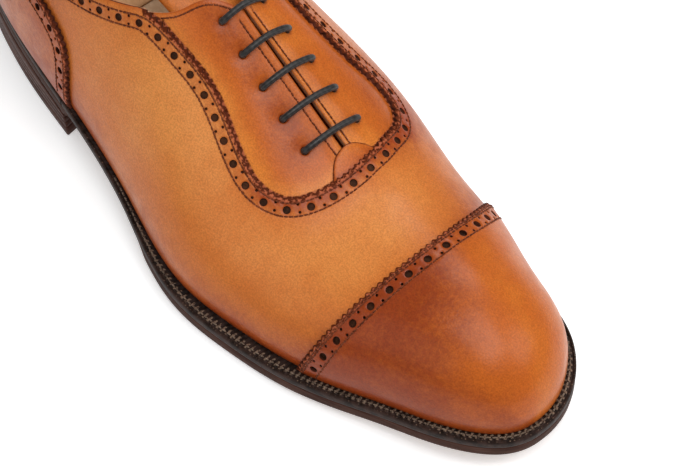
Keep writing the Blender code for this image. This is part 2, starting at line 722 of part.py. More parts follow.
# ---- bottom -----------------------------------------------------------------------------------------
def sole_outline(margin, first=HEEL_X, last=TOE_X, extra=0.0, count=40):
    """Closed outline round the feather edge moved outwards, lateral side first, as (x, y) in mm."""
    rows = np.linspace(row_of(first), row_of(last), count)
    x = station_of(rows)
    lateral = form(x, np.full(count, -1.0))[:, :2]
    medial = form(x, np.full(count, 1.0))[:, :2]
    whole_x = station_of(np.linspace(0, ROWS, 200))
    left = form(whole_x, np.full(200, -1.0))[:, :2]
    right = form(whole_x, np.full(200, 1.0))[:, :2]
    loop = np.concatenate([left, right[::-1]])
    loop = loop[np.linalg.norm(loop - np.roll(loop, 1, axis=0), axis=1) > 0.02]
    ahead = np.roll(loop, -1, axis=0) - np.roll(loop, 1, axis=0)
    outward = np.stack([ahead[:, 1], -ahead[:, 0]], 1)
    outward /= np.linalg.norm(outward, axis=1, keepdims=True)

    def moved(p):
        near = np.argsort(((loop - p) ** 2).sum(1))[:3]
        n = outward[near].mean(0)
        wide = float(sole_margin(p[0])) if margin else 0.0
        return p + n / np.linalg.norm(n) * (wide + extra)

    left = [moved(p) for p in lateral]
    right = [moved(p) for p in medial]
    if last >= TOE_X:
        right = right[:-1]
    if first <= HEEL_X:
        right = right[1:]
    return left + right[::-1]


def cut_outline_at(loop, low, high):
    """The part of a closed outline between two stations, its ends closed by straight lines."""
    kept = [p for p in loop if low <= p[0] <= high]
    ends = []
    for limit in (low, high):
        for a, b in zip(loop, loop[1:] + loop[:1]):
            if (a[0] - limit) * (b[0] - limit) < 0:
                t = (limit - a[0]) / (b[0] - a[0])
                ends.append(np.array([limit, a[1] + (b[1] - a[1]) * t]))
    whole = kept + ends
    middle = np.mean(whole, axis=0)
    whole.sort(key=lambda p: math.atan2((p[1] - middle[1]) * 2.2, p[0] - middle[0]))
    return whole


def sole_piece(name, outline, rise, thickness, surface, group, holes=()):
    """A layer of the bottom following the sole's curve: its top at rise mm above the sole's face."""
    loop = np.array(outline, float)
    low, high = loop[:, 0].min() - 1, loop[:, 0].max() + 1
    wide = np.abs(loop[:, 1]).max() + 2
    stations = np.arange(math.floor(low / SOLE_STEP) * SOLE_STEP, high + SOLE_STEP, SOLE_STEP)
    points = []
    edges = []
    for x in stations:
        edges.append((len(points), len(points) + 1))
        points += [(x, -wide), (x, wide)]
    flat, faces = cut_sheet(loop, holes, points, edges)
    used = sorted({k for face in faces for k in face})
    place = {k: n for n, k in enumerate(used)}
    heights = np.interp([flat[k][0] for k in used], stations, sole_z(stations))
    solid = [(flat[k][0] * MM, flat[k][1] * MM, (h + rise) * MM) for k, h in zip(used, heights)]
    mesh = mesh_from(name, solid, [tuple(place[k] for k in face) for face in faces])
    work = bmesh.new()
    work.from_mesh(mesh)
    if sum(f.normal.z * f.calc_area() for f in work.faces) < 0:
        bmesh.ops.reverse_faces(work, faces=work.faces)
    work.to_mesh(mesh)
    work.free()
    made = add_object(name, mesh, surface, group)
    solidify(made, thickness)
    return made


def nail_holes():
    holes = []
    radius = NAIL_HOLE / 2
    for x, y in NAILS:
        turns = [k * math.pi / 4 for k in range(8)]
        holes.append([(x + radius * math.cos(a), y + radius * math.sin(a)) for a in turns])
    return holes


def build_bottom(m, group):
    full = sole_outline(True)
    sole_piece("outsole", full, OUTSOLE_THICKNESS, OUTSOLE_THICKNESS, m["sole"], group, nail_holes())
    level = OUTSOLE_THICKNESS + GAP + WELT_THICKNESS
    edge = sole_outline(True, extra=-0.4)
    inner = sole_outline(False, extra=-10.5)
    sole_piece("welt", ring_part(edge, inner, BREAST_X, 200), level, WELT_THICKNESS, m["welt"], group)
    rand = ring_part(edge, inner, -200, BREAST_X - 0.4)
    sole_piece("heel_rand", rand, level, WELT_THICKNESS, m["welt"], group)
    rib_out = sole_outline(False, extra=-11)
    rib_in = sole_outline(False, extra=-14)
    rib = ring_part(rib_out, rib_in, BREAST_X + 2, 200)
    sole_piece("insole_rib", rib, level, WELT_THICKNESS, m["canvas"], group)
    filler = cut_outline_at(sole_outline(False, extra=-14.6), -28, 200)
    sole_piece("cork_filler", filler, level, WELT_THICKNESS, m["cork"], group)
    shank = [(-104, -6), (-101, -8), (-35, -6.5), (-31, -4.5), (-31, 4.5), (-35, 6.5), (-101, 8), (-104, 6)]
    sole_piece("shank", shank, OUTSOLE_THICKNESS + GAP + 1.5, 1.5, m["steel"], group)
    insole_rise = FEATHER_RISE + INSOLE_THICKNESS
    sole_piece("insole", sole_outline(False, extra=-4.5), insole_rise, INSOLE_THICKNESS, m["insole"], group)
    sock = cut_outline_at(sole_outline(False, extra=-6.5), -200, -56)
    sole_piece("heel_sock", sock, insole_rise + GAP + 0.9, 0.9, m["lining"], group)


def ring_part(outer, inner, low, high):
    """Outline of the strip between two closed outlines, open where it passes the given station."""
    def arc(loop):
        kept = [p for p in loop if low <= p[0] <= high]
        limit = low if low > -190 else high
        cuts = []
        for a, b in zip(loop, loop[1:] + loop[:1]):
            if (a[0] - limit) * (b[0] - limit) < 0:
                t = (limit - a[0]) / (b[0] - a[0])
                cuts.append(np.array([limit, a[1] + (b[1] - a[1]) * t]))
        cuts.sort(key=lambda p: p[1])
        centre = np.array([0.0 if low > -190 else -100.0, 0.0])
        turn = 1 if low > -190 else -1
        kept.sort(key=lambda p: math.atan2(p[1] - centre[1], turn * (p[0] - centre[0])))
        return [cuts[0]] + kept + [cuts[-1]]

    return arc(outer) + arc(inner)[::-1]


def heel_outline(taper):
    """Heel's outline in plan, its breast hollowed."""
    loop = cut_outline_at(sole_outline(True, extra=-taper, count=60), -200, BREAST_X)
    back = [p for p in loop if p[0] < BREAST_X - 0.5]
    ends = sorted([p for p in loop if p[0] >= BREAST_X - 0.5], key=lambda p: p[1])
    back.sort(key=lambda p: math.atan2(p[1], -(p[0] + 100)))
    breast = []
    for t in np.linspace(0, 1, 9):
        y = ends[-1][1] * (1 - t) + ends[0][1] * t
        breast.append(np.array([BREAST_X - 4.0 * math.sin(math.pi * t), y]))
    return back + breast


def flat_piece(name, outline, low, high, surface, group):
    """A flat layer cut from a filled outline; high may be a function of the station."""
    line = bpy.data.curves.new(name + "_outline", "CURVE")
    line.dimensions = "2D"
    line.fill_mode = "BOTH"
    spline = line.splines.new("POLY")
    spline.points.add(len(outline) - 1)
    for handle, p in zip(spline.points, outline):
        handle.co = (p[0] * MM, p[1] * MM, 0, 1)
    spline.use_cyclic_u = True
    line.extrude = 0.001
    drawn = bpy.data.objects.new(name + "_drawn", line)
    group.objects.link(drawn)
    bpy.context.view_layer.update()
    mesh = bpy.data.meshes.new_from_object(drawn)
    bpy.data.objects.remove(drawn, do_unlink=True)
    work = bmesh.new()
    work.from_mesh(mesh)
    bmesh.ops.remove_doubles(work, verts=work.verts, dist=1e-6)
    for v in work.verts:
        x = v.co.x / MM
        v.co.z = (high(x) if callable(high) else high) * MM if v.co.z > 0 else low * MM
    bmesh.ops.recalc_face_normals(work, faces=work.faces)
    work.to_mesh(mesh)
    work.free()
    return add_object(name, mesh, surface, group)


def drill(made, cutter):
    cut = made.modifiers.new("nail_holes", "BOOLEAN")
    cut.operation = "DIFFERENCE"
    cut.solver = "EXACT"
    cut.object = cutter


def nail_drill(tools):
    """Rods that drill every nail hole, starting above the top piece."""
    foot = TOP_PIECE_THICKNESS + 1.0
    length = 50.0
    work = bmesh.new()
    for x, y in NAILS:
        place = Matrix.Translation(Vector((x, y, foot + length / 2)) * MM)
        bmesh.ops.create_cone(work, cap_ends=True, segments=8, radius1=NAIL_HOLE / 2 * MM,
                              radius2=NAIL_HOLE / 2 * MM, depth=length * MM, matrix=place)
    mesh = bpy.data.meshes.new("nail_drill")
    work.to_mesh(mesh)
    work.free()
    cutter = bpy.data.objects.new("nail_drill", mesh)
    tools.objects.link(cutter)
    cutter.hide_render = True
    cutter.display_type = "WIRE"
    return cutter


def build_heel(m, group, tools):
    """Stacked leather lifts on a leather and rubber top piece, held by nails."""
    cutter = nail_drill(tools)
    base = heel_outline(HEEL_TAPER + 0.2)
    front = cut_heel(base, RUBBER_SPLIT_X + 0.2, True)
    rear = cut_heel(base, RUBBER_SPLIT_X - 0.2, False)
    flat_piece("top_piece_leather", front, 0.0, TOP_PIECE_THICKNESS, m["heel"], group)
    flat_piece("top_piece_rubber", rear, 0.0, TOP_PIECE_THICKNESS, m["rubber"], group)
    level = TOP_PIECE_THICKNESS + GAP
    for number in (1, 2):
        outline = heel_outline(HEEL_TAPER * (3 - number) / 3)
        lift = flat_piece("heel_lift_%d" % number, outline, level, level + LIFT_THICKNESS, m["heel"], group)
        drill(lift, cutter)
        level += LIFT_THICKNESS + GAP
    stations = np.arange(-165.0, -32.0, SOLE_STEP)
    under_sole = sole_z(stations) - GAP

    def wedge_top(x):
        return float(np.interp(x, stations, under_sole))

    wedge = flat_piece("heel_lift_3", heel_outline(0.0), level, wedge_top, m["heel"], group)
    drill(wedge, cutter)
    for number, (x, y) in enumerate(NAILS, 1):
        foot = 7.0
        head = float(sole_z(x)) + OUTSOLE_THICKNESS - 0.6
        middle = (x, y, (foot + head) / 2)
        add_rod("heel_nail_%d" % number, middle, (0, 0, 1), NAIL_DIAMETER, head - foot, 8, m["brass"], group)


def cut_heel(loop, limit, front):
    kept = [p for p in loop if (p[0] > limit) == front]
    cuts = []
    for a, b in zip(loop, loop[1:] + loop[:1]):
        if (a[0] - limit) * (b[0] - limit) < 0:
            t = (limit - a[0]) / (b[0] - a[0])
            cuts.append(np.array([limit, a[1] + (b[1] - a[1]) * t]))
    whole = kept + cuts
    middle = np.array([limit + (18 if front else -14), 0.0])
    whole.sort(key=lambda p: math.atan2(p[1] - middle[1], p[0] - middle[0]))
    return whole


def build():
    clear_scene()
    group = new_collection(OBJECT_NAME)
    tools = new_collection("cutters", hidden=True)
    m = {
        "upper": material("tan_calf", (0.56, 0.23, 0.075), 0.38),
        "cap": material("burnished_calf", (0.42, 0.14, 0.04), 0.32),
        "lining": material("lining_leather", (0.62, 0.40, 0.22), 0.6),
        "board": material("stiffener_board", (0.50, 0.42, 0.30), 0.8),
        "sole": material("sole_leather", (0.10, 0.045, 0.03), 0.45),
        "welt": material("welt_leather", (0.06, 0.03, 0.02), 0.5),
        "heel": material("heel_leather", (0.09, 0.04, 0.028), 0.4),
        "rubber": material("heel_rubber", (0.02, 0.02, 0.02), 0.8),
        "insole": material("insole_leather", (0.55, 0.38, 0.24), 0.7),
        "canvas": material("rib_canvas", (0.70, 0.66, 0.56), 0.9),
        "cork": material("cork", (0.45, 0.28, 0.14), 0.9),
        "steel": material("shank_steel", (0.5, 0.5, 0.52), 0.35, 1.0),
        "brass": material("nail_brass", (0.7, 0.5, 0.22), 0.35, 1.0),
        "eyelet": material("eyelet_metal", (0.35, 0.25, 0.12), 0.4, 1.0),
        "lace": material("waxed_cord", (0.035, 0.03, 0.028), 0.5),
        "tip": material("aglet_plastic", (0.03, 0.028, 0.026), 0.25),
    }
    build_bottom(m, group)
    build_heel(m, group, tools)
    build_linings(m["lining"], m["lining"], group)
    build_toe_puff(m["board"], group)
    build_stiffener(m["board"], group)
    build_facing(-1, "facing_lateral", m["cap"], group)
    build_facing(1, "facing_medial", m["cap"], group)
    build_throat_tab(m["upper"], group)
    build_vamp(m["upper"], group)
    build_cap(m["cap"], group)
    build_counter(m["upper"], group)
    build_tongue(m["upper"], group)
    for number, x in enumerate(EYELET_X, 1):
        build_eyelet("eyelet_lateral_%d" % number, x, EYELET_LATERAL, m["eyelet"], group)
        build_eyelet("eyelet_medial_%d" % number, x, EYELET_MEDIAL, m["eyelet"], group)
    build_lace(m["lace"], m["tip"], group)
    for made in list(group.objects) + list(tools.objects):
        made.location += Vector((*CENTRE_SHIFT, 0)) * MM


build()
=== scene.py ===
"""Looks of a right-foot leather oxford shoe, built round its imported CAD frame.

Lengths in this script are millimetres in the frame's axes, and MM turns them to metres: toe along
+X, outer (lateral) side along -Y. Every leather piece is cut from one lasted form, given by a
station x along the shoe and a girth g round it (-1 lateral feather edge, 0 ridge, +1 medial).
"""

import math

import bpy
import numpy as np
from mathutils import Matrix, Vector, noise
from mathutils.geometry import delaunay_2d_cdt
from mathutils.kdtree import KDTree


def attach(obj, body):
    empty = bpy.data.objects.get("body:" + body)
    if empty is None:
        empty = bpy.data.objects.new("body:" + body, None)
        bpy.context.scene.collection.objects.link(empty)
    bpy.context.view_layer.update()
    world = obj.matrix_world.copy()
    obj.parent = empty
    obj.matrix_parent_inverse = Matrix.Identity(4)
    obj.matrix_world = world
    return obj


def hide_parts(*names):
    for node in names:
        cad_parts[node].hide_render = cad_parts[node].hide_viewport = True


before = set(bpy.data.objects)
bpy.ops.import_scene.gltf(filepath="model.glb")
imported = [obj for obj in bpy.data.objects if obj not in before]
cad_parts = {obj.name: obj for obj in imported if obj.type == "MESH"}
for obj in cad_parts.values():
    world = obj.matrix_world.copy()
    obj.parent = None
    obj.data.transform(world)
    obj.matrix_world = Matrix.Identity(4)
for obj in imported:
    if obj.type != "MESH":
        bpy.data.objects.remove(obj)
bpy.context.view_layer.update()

MM = 0.001
CENTRE_SHIFT = np.array([-2.77, 3.87, 0.0])


# ---- camera ---------------------------------------------------------------------------------------
CAMERA_AZIMUTH = -38.64
CAMERA_ELEVATION = 57.22
CAMERA_DISTANCE = 900.0
CAMERA_LENS = 137.9
AIM_RIGHT = 33.27
AIM_UP = -25.46


def add_camera():
    az, el = math.radians(CAMERA_AZIMUTH), math.radians(CAMERA_ELEVATION)
    back = np.array([math.cos(el) * math.cos(az), math.cos(el) * math.sin(az), math.sin(el)])
    right = np.array([-math.sin(az), math.cos(az), 0.0])
    up = np.cross(back, right)
    aim = CENTRE_SHIFT + right * AIM_RIGHT + up * AIM_UP
    data = bpy.data.cameras.new("camera")
    data.lens = CAMERA_LENS
    data.sensor_width = 36.0
    data.clip_end = 20.0
    camera = bpy.data.objects.new("camera", data)
    bpy.context.scene.collection.objects.link(camera)
    camera.matrix_world = Matrix.Translation(Vector((aim + back * CAMERA_DISTANCE) * MM)) @ Matrix(
        (right, up, back)).transposed().to_4x4()
    bpy.context.scene.camera = camera


add_camera()


# ---- lasted form: values at stations along the shoe ------------------------------------------------
def curve_through(points):
    """Natural cubic spline through the points, as a function held level beyond its ends."""
    x, y = np.array(points, float).T
    n = len(x)
    h = np.diff(x)
    a = np.eye(n)
    r = np.zeros(n)
    for i in range(1, n - 1):
        a[i, i - 1:i + 2] = h[i - 1], 2 * (h[i - 1] + h[i]), h[i]
        r[i] = 6 * ((y[i + 1] - y[i]) / h[i] - (y[i] - y[i - 1]) / h[i - 1])
    m = np.linalg.solve(a, r)

    def value(q):
        q = np.clip(np.asarray(q, float), x[0], x[-1])
        i = np.clip(np.searchsorted(x, q) - 1, 0, n - 2)
        t = q - x[i]
        u = x[i + 1] - q
        k = h[i]
        bend = (m[i] * u**3 + m[i + 1] * t**3) / (6 * k)
        return bend + (y[i] / k - m[i] * k / 6) * u + (y[i + 1] / k - m[i + 1] * k / 6) * t

    return value


def unit(v):
    return v / (np.linalg.norm(v, axis=-1, keepdims=True) + 1e-12)


def lengths(points):
    """Distance along a line from its start to each of its points."""
    return np.concatenate([[0], np.cumsum(np.linalg.norm(np.diff(points, axis=0), axis=1))])


def smooth(share):
    """0 to 1 with level ends, held beyond them."""
    s = np.clip(share, 0, 1)
    return s * s * (3 - 2 * s)


HEEL_X = -136.0
TOE_X = 141.0
lateral_y = curve_through([(-150, -32), (-115, -31.5), (-80, -38), (-45, -41.5), (-5, -46), (30, -51),
                           (55, -47), (80, -40), (105, -29.5), (125, -25), (146, -21)])
medial_y = curve_through([(-150, 32), (-115, 32), (-80, 30), (-45, 29.5), (-5, 36), (30, 43), (60, 41),
                          (80, 39), (105, 33.5), (125, 34), (146, 31)])
ridge_y = curve_through([(-150, -1), (-80, -1), (-30, 0), (20, 5), (70, 7), (110, 5), (146, 1)])
ridge_z = curve_through([(-150, 124), (-110, 124), (-75, 120), (-45, 108), (-10, 84), (30, 57), (60, 44),
                         (90, 43.5), (115, 43.5), (146, 44)])
bulge_lateral = curve_through([(-150, 0.06), (-60, 0.06), (20, 0.08), (60, 0.09), (146, 0.10)])
bulge_medial = curve_through([(-150, 0.06), (-70, 0.20), (-40, 0.42), (0, 0.42), (30, 0.22), (60, 0.12),
                              (146, 0.10)])
side_fullness = curve_through([(-150, 0.46), (-70, 0.38), (-30, 0.39), (10, 0.48), (50, 0.55), (90, 0.59),
                               (146, 0.62)])
top_fullness = curve_through([(-150, 0.85), (-110, 0.76), (-70, 0.49), (-30, 0.33), (10, 0.40), (50, 0.49),
                              (90, 0.55), (146, 0.60)])
sole_z = curve_through([(-152.5, 20), (-115, 18.5), (-80, 17), (-50, 13.5), (-20, 7.5), (8, 2.4), (35, 0.4),
                        (60, 0.4), (90, 2.2), (120, 5.6), (152.5, 9.2)])
back_lean = curve_through([(0, 0), (20, -3), (40, -2), (62, 3.5), (110, 14)])
sole_margin = curve_through([(-150, 1.3), (-80, 1.4), (-50, 1.9), (-10, 2.3), (40, 4.7), (100, 4.7),
                             (146, 4.7)])
TOE_ROUND_PLAN = 52.5
TOE_ROUND_HEIGHT = 42.0
HEEL_ROUND_PLAN = 46.0
LEAN_FROM_X = -74.0
OUTSOLE_THICKNESS = 5.0
WELT_THICKNESS = 3.0
GAP = 0.3
FEATHER_RISE = OUTSOLE_THICKNESS + WELT_THICKNESS + GAP + 0.5
BREAST_X = -45.5
RUBBER_FROM_X = -99.0
HEEL_TAPER = 0.6
WAIST_BEVEL = 3.8


# ---- pattern lines (station, girth) or (station, height) -------------------------------------------
THROAT = [(-22, -0.39), (-18, -0.37), (-6, -0.33), (7, -0.30), (17, -0.31), (28, -0.335), (35, -0.34),
          (40, -0.325), (45, -0.28), (47.5, -0.22), (49, -0.13), (49, -0.04), (48, 0.06), (47, 0.15),
          (45, 0.25), (42.5, 0.36), (39, 0.43), (35, 0.46), (30, 0.46), (22, 0.41), (11, 0.365),
          (-2, 0.345), (-14, 0.36), (-22, 0.39)]
CAP_LINE = [(78, -1), (80.5, -0.85), (82.5, -0.65), (84, -0.4), (84.7, -0.1), (84, 0.1), (81, 0.4),
            (75.5, 0.7), (71, 1)]
counter_z = curve_through([(-136, 72.5), (-120, 71), (-98, 67), (-75, 62), (-60, 57.5), (-53, 54.5),
                           (-48, 51.5)])
COUNTER_FRONT = [(-44.5, 48), (-42.3, 43), (-41, 36), (-41, 27)]
collar_z = curve_through([(-136, 91.5), (-126, 89), (-110, 83), (-96, 77), (-80, 72.5), (-62, 70),
                          (-45, 71), (-31, 73.8), (-22, 76.2)])
FACING_TOP = [(-22, 0.40), (-14, 0.28), (-11, 0.18), (-7, 0.09), (-3.5, 0.035)]
FACING_OUTER_LATERAL = [(53.5, -0.02), (53.5, -0.20), (50, -0.34), (44, -0.42), (36, -0.44), (28, -0.43),
                        (17, -0.40), (7, -0.385), (-6, -0.41), (-22, -0.46)]
FACING_OUTER_MEDIAL = [(53.5, 0.02), (53.5, 0.18), (50, 0.34), (45, 0.48), (38, 0.56), (30, 0.57),
                       (22, 0.52), (11, 0.46), (-2, 0.44), (-22, 0.46)]
LACING_HALF_GAP = 0.013
EYELET_X = [-3, 7, 17, 27, 37.5]
EYELET_G = {-1: -0.14, 1: 0.18}
LACE_DIAMETER = 2.2
TONGUE_THICKNESS = 2.0


# ---- decoration -------------------------------------------------------------------------------------
GIMP_PITCH = 2.4
GIMP_DEPTH = 1.0
BAND_INNER_STITCH = 2.3
BAND_HOLES = 4.5
BAND_OUTER_STITCH = 6.6
HOLE_PITCH = 7.75
HOLE_LARGE = 2.6
HOLE_SMALL = 0.95
PAIR_SPREAD = 1.3
STITCH_PITCH = 1.6
THREAD = 0.54
INK_AND_SHADOW_REACH = 2.15
DARK_LINE_OFFSET = 1.58
EDGE_DROP = 0.42
TOOTH_RISE = 0.3
COLLAR_DROP = 0.55
HOLE_DROP = 0.2
GROOVE_DEPTH = 0.2
EYELET_HOLE = 2.7
LINING_HOLE = 5.0

FINE_ROWS = 160
FINE_COLUMNS = 104


def closing(distance, length, power):
    """Rounded end: 0 at the end itself, 1 from the given length inwards."""
    t = np.clip(1 - distance / length, 0, 1)
    return (1 - t**power) ** (1 / power)


def form(x, g):
    """Points of the vamp's outer face at stations x and girths g, in mm."""
    x = np.asarray(x, float)
    g = np.asarray(g, float)
    t = 1 - np.abs(g)
    u = 1 - t
    plan = closing(TOE_X - x, TOE_ROUND_PLAN, 2.25) * closing(x - HEEL_X, HEEL_ROUND_PLAN, 2.2)
    rise = closing(TOE_X - x, TOE_ROUND_HEIGHT, 2.3)
    middle = ridge_y(x)
    half = np.where(g < 0, middle - lateral_y(x), medial_y(x) - middle) * plan
    bulge = np.where(g < 0, bulge_lateral(x), bulge_medial(x))
    foot = sole_z(x) + FEATHER_RISE
    height = (ridge_z(x) - foot) * rise
    across = u**3 + 3 * u * u * t * (1 + bulge) + 3 * u * t * t * top_fullness(x)
    up = 3 * u * u * t * side_fullness(x) + 3 * u * t * t + t**3
    y = middle + np.sign(g) * half * across
    z = foot + height * up
    lean = smooth((LEAN_FROM_X - x) / (LEAN_FROM_X - HEEL_X)) * back_lean(z - foot)
    return np.stack([x + lean, y, z], -1) + CENTRE_SHIFT


def row_of(x):
    part = np.clip((np.asarray(x, float) - HEEL_X) / (TOE_X - HEEL_X), 0, 1)
    return np.arccos(1 - 2 * part) / math.pi * FINE_ROWS


def station_of(row):
    return HEEL_X + (TOE_X - HEEL_X) * (1 - np.cos(np.asarray(row, float) / FINE_ROWS * math.pi)) / 2


def column_of(g):
    return (np.asarray(g, float) + 1) * FINE_COLUMNS / 2


def girth_of(column):
    return np.asarray(column, float) * 2 / FINE_COLUMNS - 1


def form_normal(x, g):
    """Outward unit normals of the form."""
    row = np.clip(row_of(x), 0.05, FINE_ROWS - 0.05)
    column = column_of(g)
    column = np.where(np.abs(column - FINE_COLUMNS / 2) < 1e-3, FINE_COLUMNS / 2 + 1e-3, column)
    low = np.clip(column - 0.02, 0, FINE_COLUMNS)
    high = np.clip(column + 0.02, 0, FINE_COLUMNS)
    here = girth_of(column)
    along = form(station_of(row + 0.02), here) - form(station_of(row - 0.02), here)
    around = form(station_of(row), girth_of(high)) - form(station_of(row), girth_of(low))
    return unit(np.cross(along, around))


def on_form(line):
    return form(line[:, 0], line[:, 1])


def normals_on(line):
    return form_normal(line[:, 0], line[:, 1])


def girth_at_height(x, z, side):
    low, high = 1.0, 0.0
    for _ in range(30):
        mid = (low + high) / 2
        if form(x, side * mid)[2] < z:
            low = mid
        else:
            high = mid
    return side * (low + high) / 2


# ---- lines on the form ----------------------------------------------------------------------------
def smooth_line(points, steps=200):
    """A smooth line through control points (station, girth)."""
    p = np.array(points, float) * (1, 60)
    along = np.concatenate([[0], np.cumsum(np.linalg.norm(np.diff(p, axis=0), axis=1) + 1e-6)])
    q = np.linspace(0, along[-1], steps)
    return np.stack([curve_through(np.stack([along, c], 1))(q) for c in p.T], 1) / (1, 60)


def even(line, spacing):
    """The same line with points evenly spaced along the leather, about so many mm apart."""
    p = np.array(line, float)
    fine = np.concatenate([p[:-1] + (p[1:] - p[:-1]) * k / 6 for k in range(6)])
    order = np.argsort(np.concatenate([np.arange(len(p) - 1) + k / 6 for k in range(6)]), kind="stable")
    fine = np.concatenate([fine[order], p[-1:]])
    solid = on_form(fine)
    along = lengths(solid)
    count = max(2, int(round(along[-1] / spacing)) + 1)
    q = np.linspace(0, along[-1], count)
    return np.stack([np.interp(q, along, fine[:, 0]), np.interp(q, along, fine[:, 1])], 1)


def stepped(line, move):
    """Each point of a line moved by its own small step in mm along the leather."""
    x, g = line[:, 0], line[:, 1]
    here = form(x, g)
    dx = (form(x + 0.2, g) - here) / 0.2
    dg = (form(x, g + 0.002) - here) / 0.002
    a, b, c = (dx * dx).sum(1), (dx * dg).sum(1), (dg * dg).sum(1)
    p, q = (dx * move).sum(1), (dg * move).sum(1)
    det = a * c - b * b + 1e-12
    return np.stack([x + (c * p - b * q) / det, g + (a * q - b * p) / det], 1)


def frames(line):
    """Tangents and leftward directions along a line."""
    solid = on_form(line)
    n = normals_on(line)
    t = np.gradient(solid, axis=0)
    t = unit(t - n * (t * n).sum(1, keepdims=True))
    return t, np.cross(n, t)


def shifted(line, distance):
    """A line moved sideways on the leather, to the left of its run where distance is positive."""
    line = np.array(line, float)
    _, side = frames(line)
    if np.ndim(distance):
        distance = np.asarray(distance)[:, None]
    return stepped(line, side * distance)


def gimped(line, inward):
    """Toothed edge and how notched it is: rounded teeth, cut to the left (inward 1) or right (-1)."""
    fine = even(line, GIMP_PITCH / 6)
    notch = np.abs(np.cos(np.arange(len(fine)) * math.pi / 6)) ** 2
    notch[0] = notch[-1] = 0
    return shifted(fine, notch * GIMP_DEPTH * inward), notch


def collar_line(side, first, last, drop, count):
    """Points on one side, drop mm below the collar edge."""
    stations = np.linspace(first, last, count)
    return np.array([(x, girth_at_height(x, float(collar_z(x)) - drop, side)) for x in stations])


def feather_line(side, first, last, count):
    rows = np.linspace(row_of(first), row_of(last), count)
    return np.stack([station_of(rows), np.full(count, float(side))], 1)


def both_feathers(first, last, count):
    return np.concatenate([feather_line(side, first, last, count) for side in (-1, 1)])


def ring(centre, diameter, sides):
    """Outline of a round hole punched square to the leather."""
    x, g = centre
    n = form_normal(np.array([x]), np.array([g]))[0]
    e1 = unit(np.cross(n, np.eye(3)[np.abs(n).argmin()]))
    e2 = np.cross(n, e1)
    a = np.arange(sides) * 2 * math.pi / sides
    move = (e1 * np.cos(a)[:, None] + e2 * np.sin(a)[:, None]) * diameter / 2
    return stepped(np.repeat([[x, g]], sides, axis=0), move)


# ---- mesh building --------------------------------------------------------------------------------
def inside(points, edges):
    """Even-odd test of many points against many closed loops' edges."""
    result = np.zeros(len(points), bool)
    a, b = edges
    for start in range(0, len(points), 2000):
        p = points[start:start + 2000]
        crosses = (a[None, :, 1] > p[:, None, 1]) != (b[None, :, 1] > p[:, None, 1])
        slope = (b[:, 0] - a[:, 0]) / np.where(b[:, 1] == a[:, 1], 1e-12, b[:, 1] - a[:, 1])
        run = a[None, :, 0] + (p[:, None, 1] - a[None, :, 1]) * slope[None]
        result[start:start + 2000] = (crosses & (run > p[:, None, 0])).sum(1) % 2 == 1
    return result


def nearest(points, samples):
    """Distance from each point to the nearest sample."""
    tree = KDTree(len(samples))
    for k, s in enumerate(samples):
        tree.insert(s, k)
    tree.balance()
    return np.array([tree.find(p)[2] for p in points])


def make_object(name, points, faces, surface, normals=None, fields=None, body="shoe"):
    """A mesh object in millimetres, with optional normals for each corner and per-point fields."""
    mesh = bpy.data.meshes.new(name)
    mesh.from_pydata((np.asarray(points) * MM).tolist(), [], faces)
    mesh.shade_smooth()
    for key, values in (fields or {}).items():
        layer = mesh.attributes.new(key, "FLOAT", "POINT")
        layer.data.foreach_set("value", np.asarray(values, np.float32))
    if normals is not None:
        mesh.normals_split_custom_set(normals.tolist())
    mesh.materials.append(surface)
    made = bpy.data.objects.new(name, mesh)
    bpy.context.scene.collection.objects.link(made)
    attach(made, body)
    return made


def dressed(node_name):
    """Hides the CAD node whose place the piece takes."""
    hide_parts(node_name)


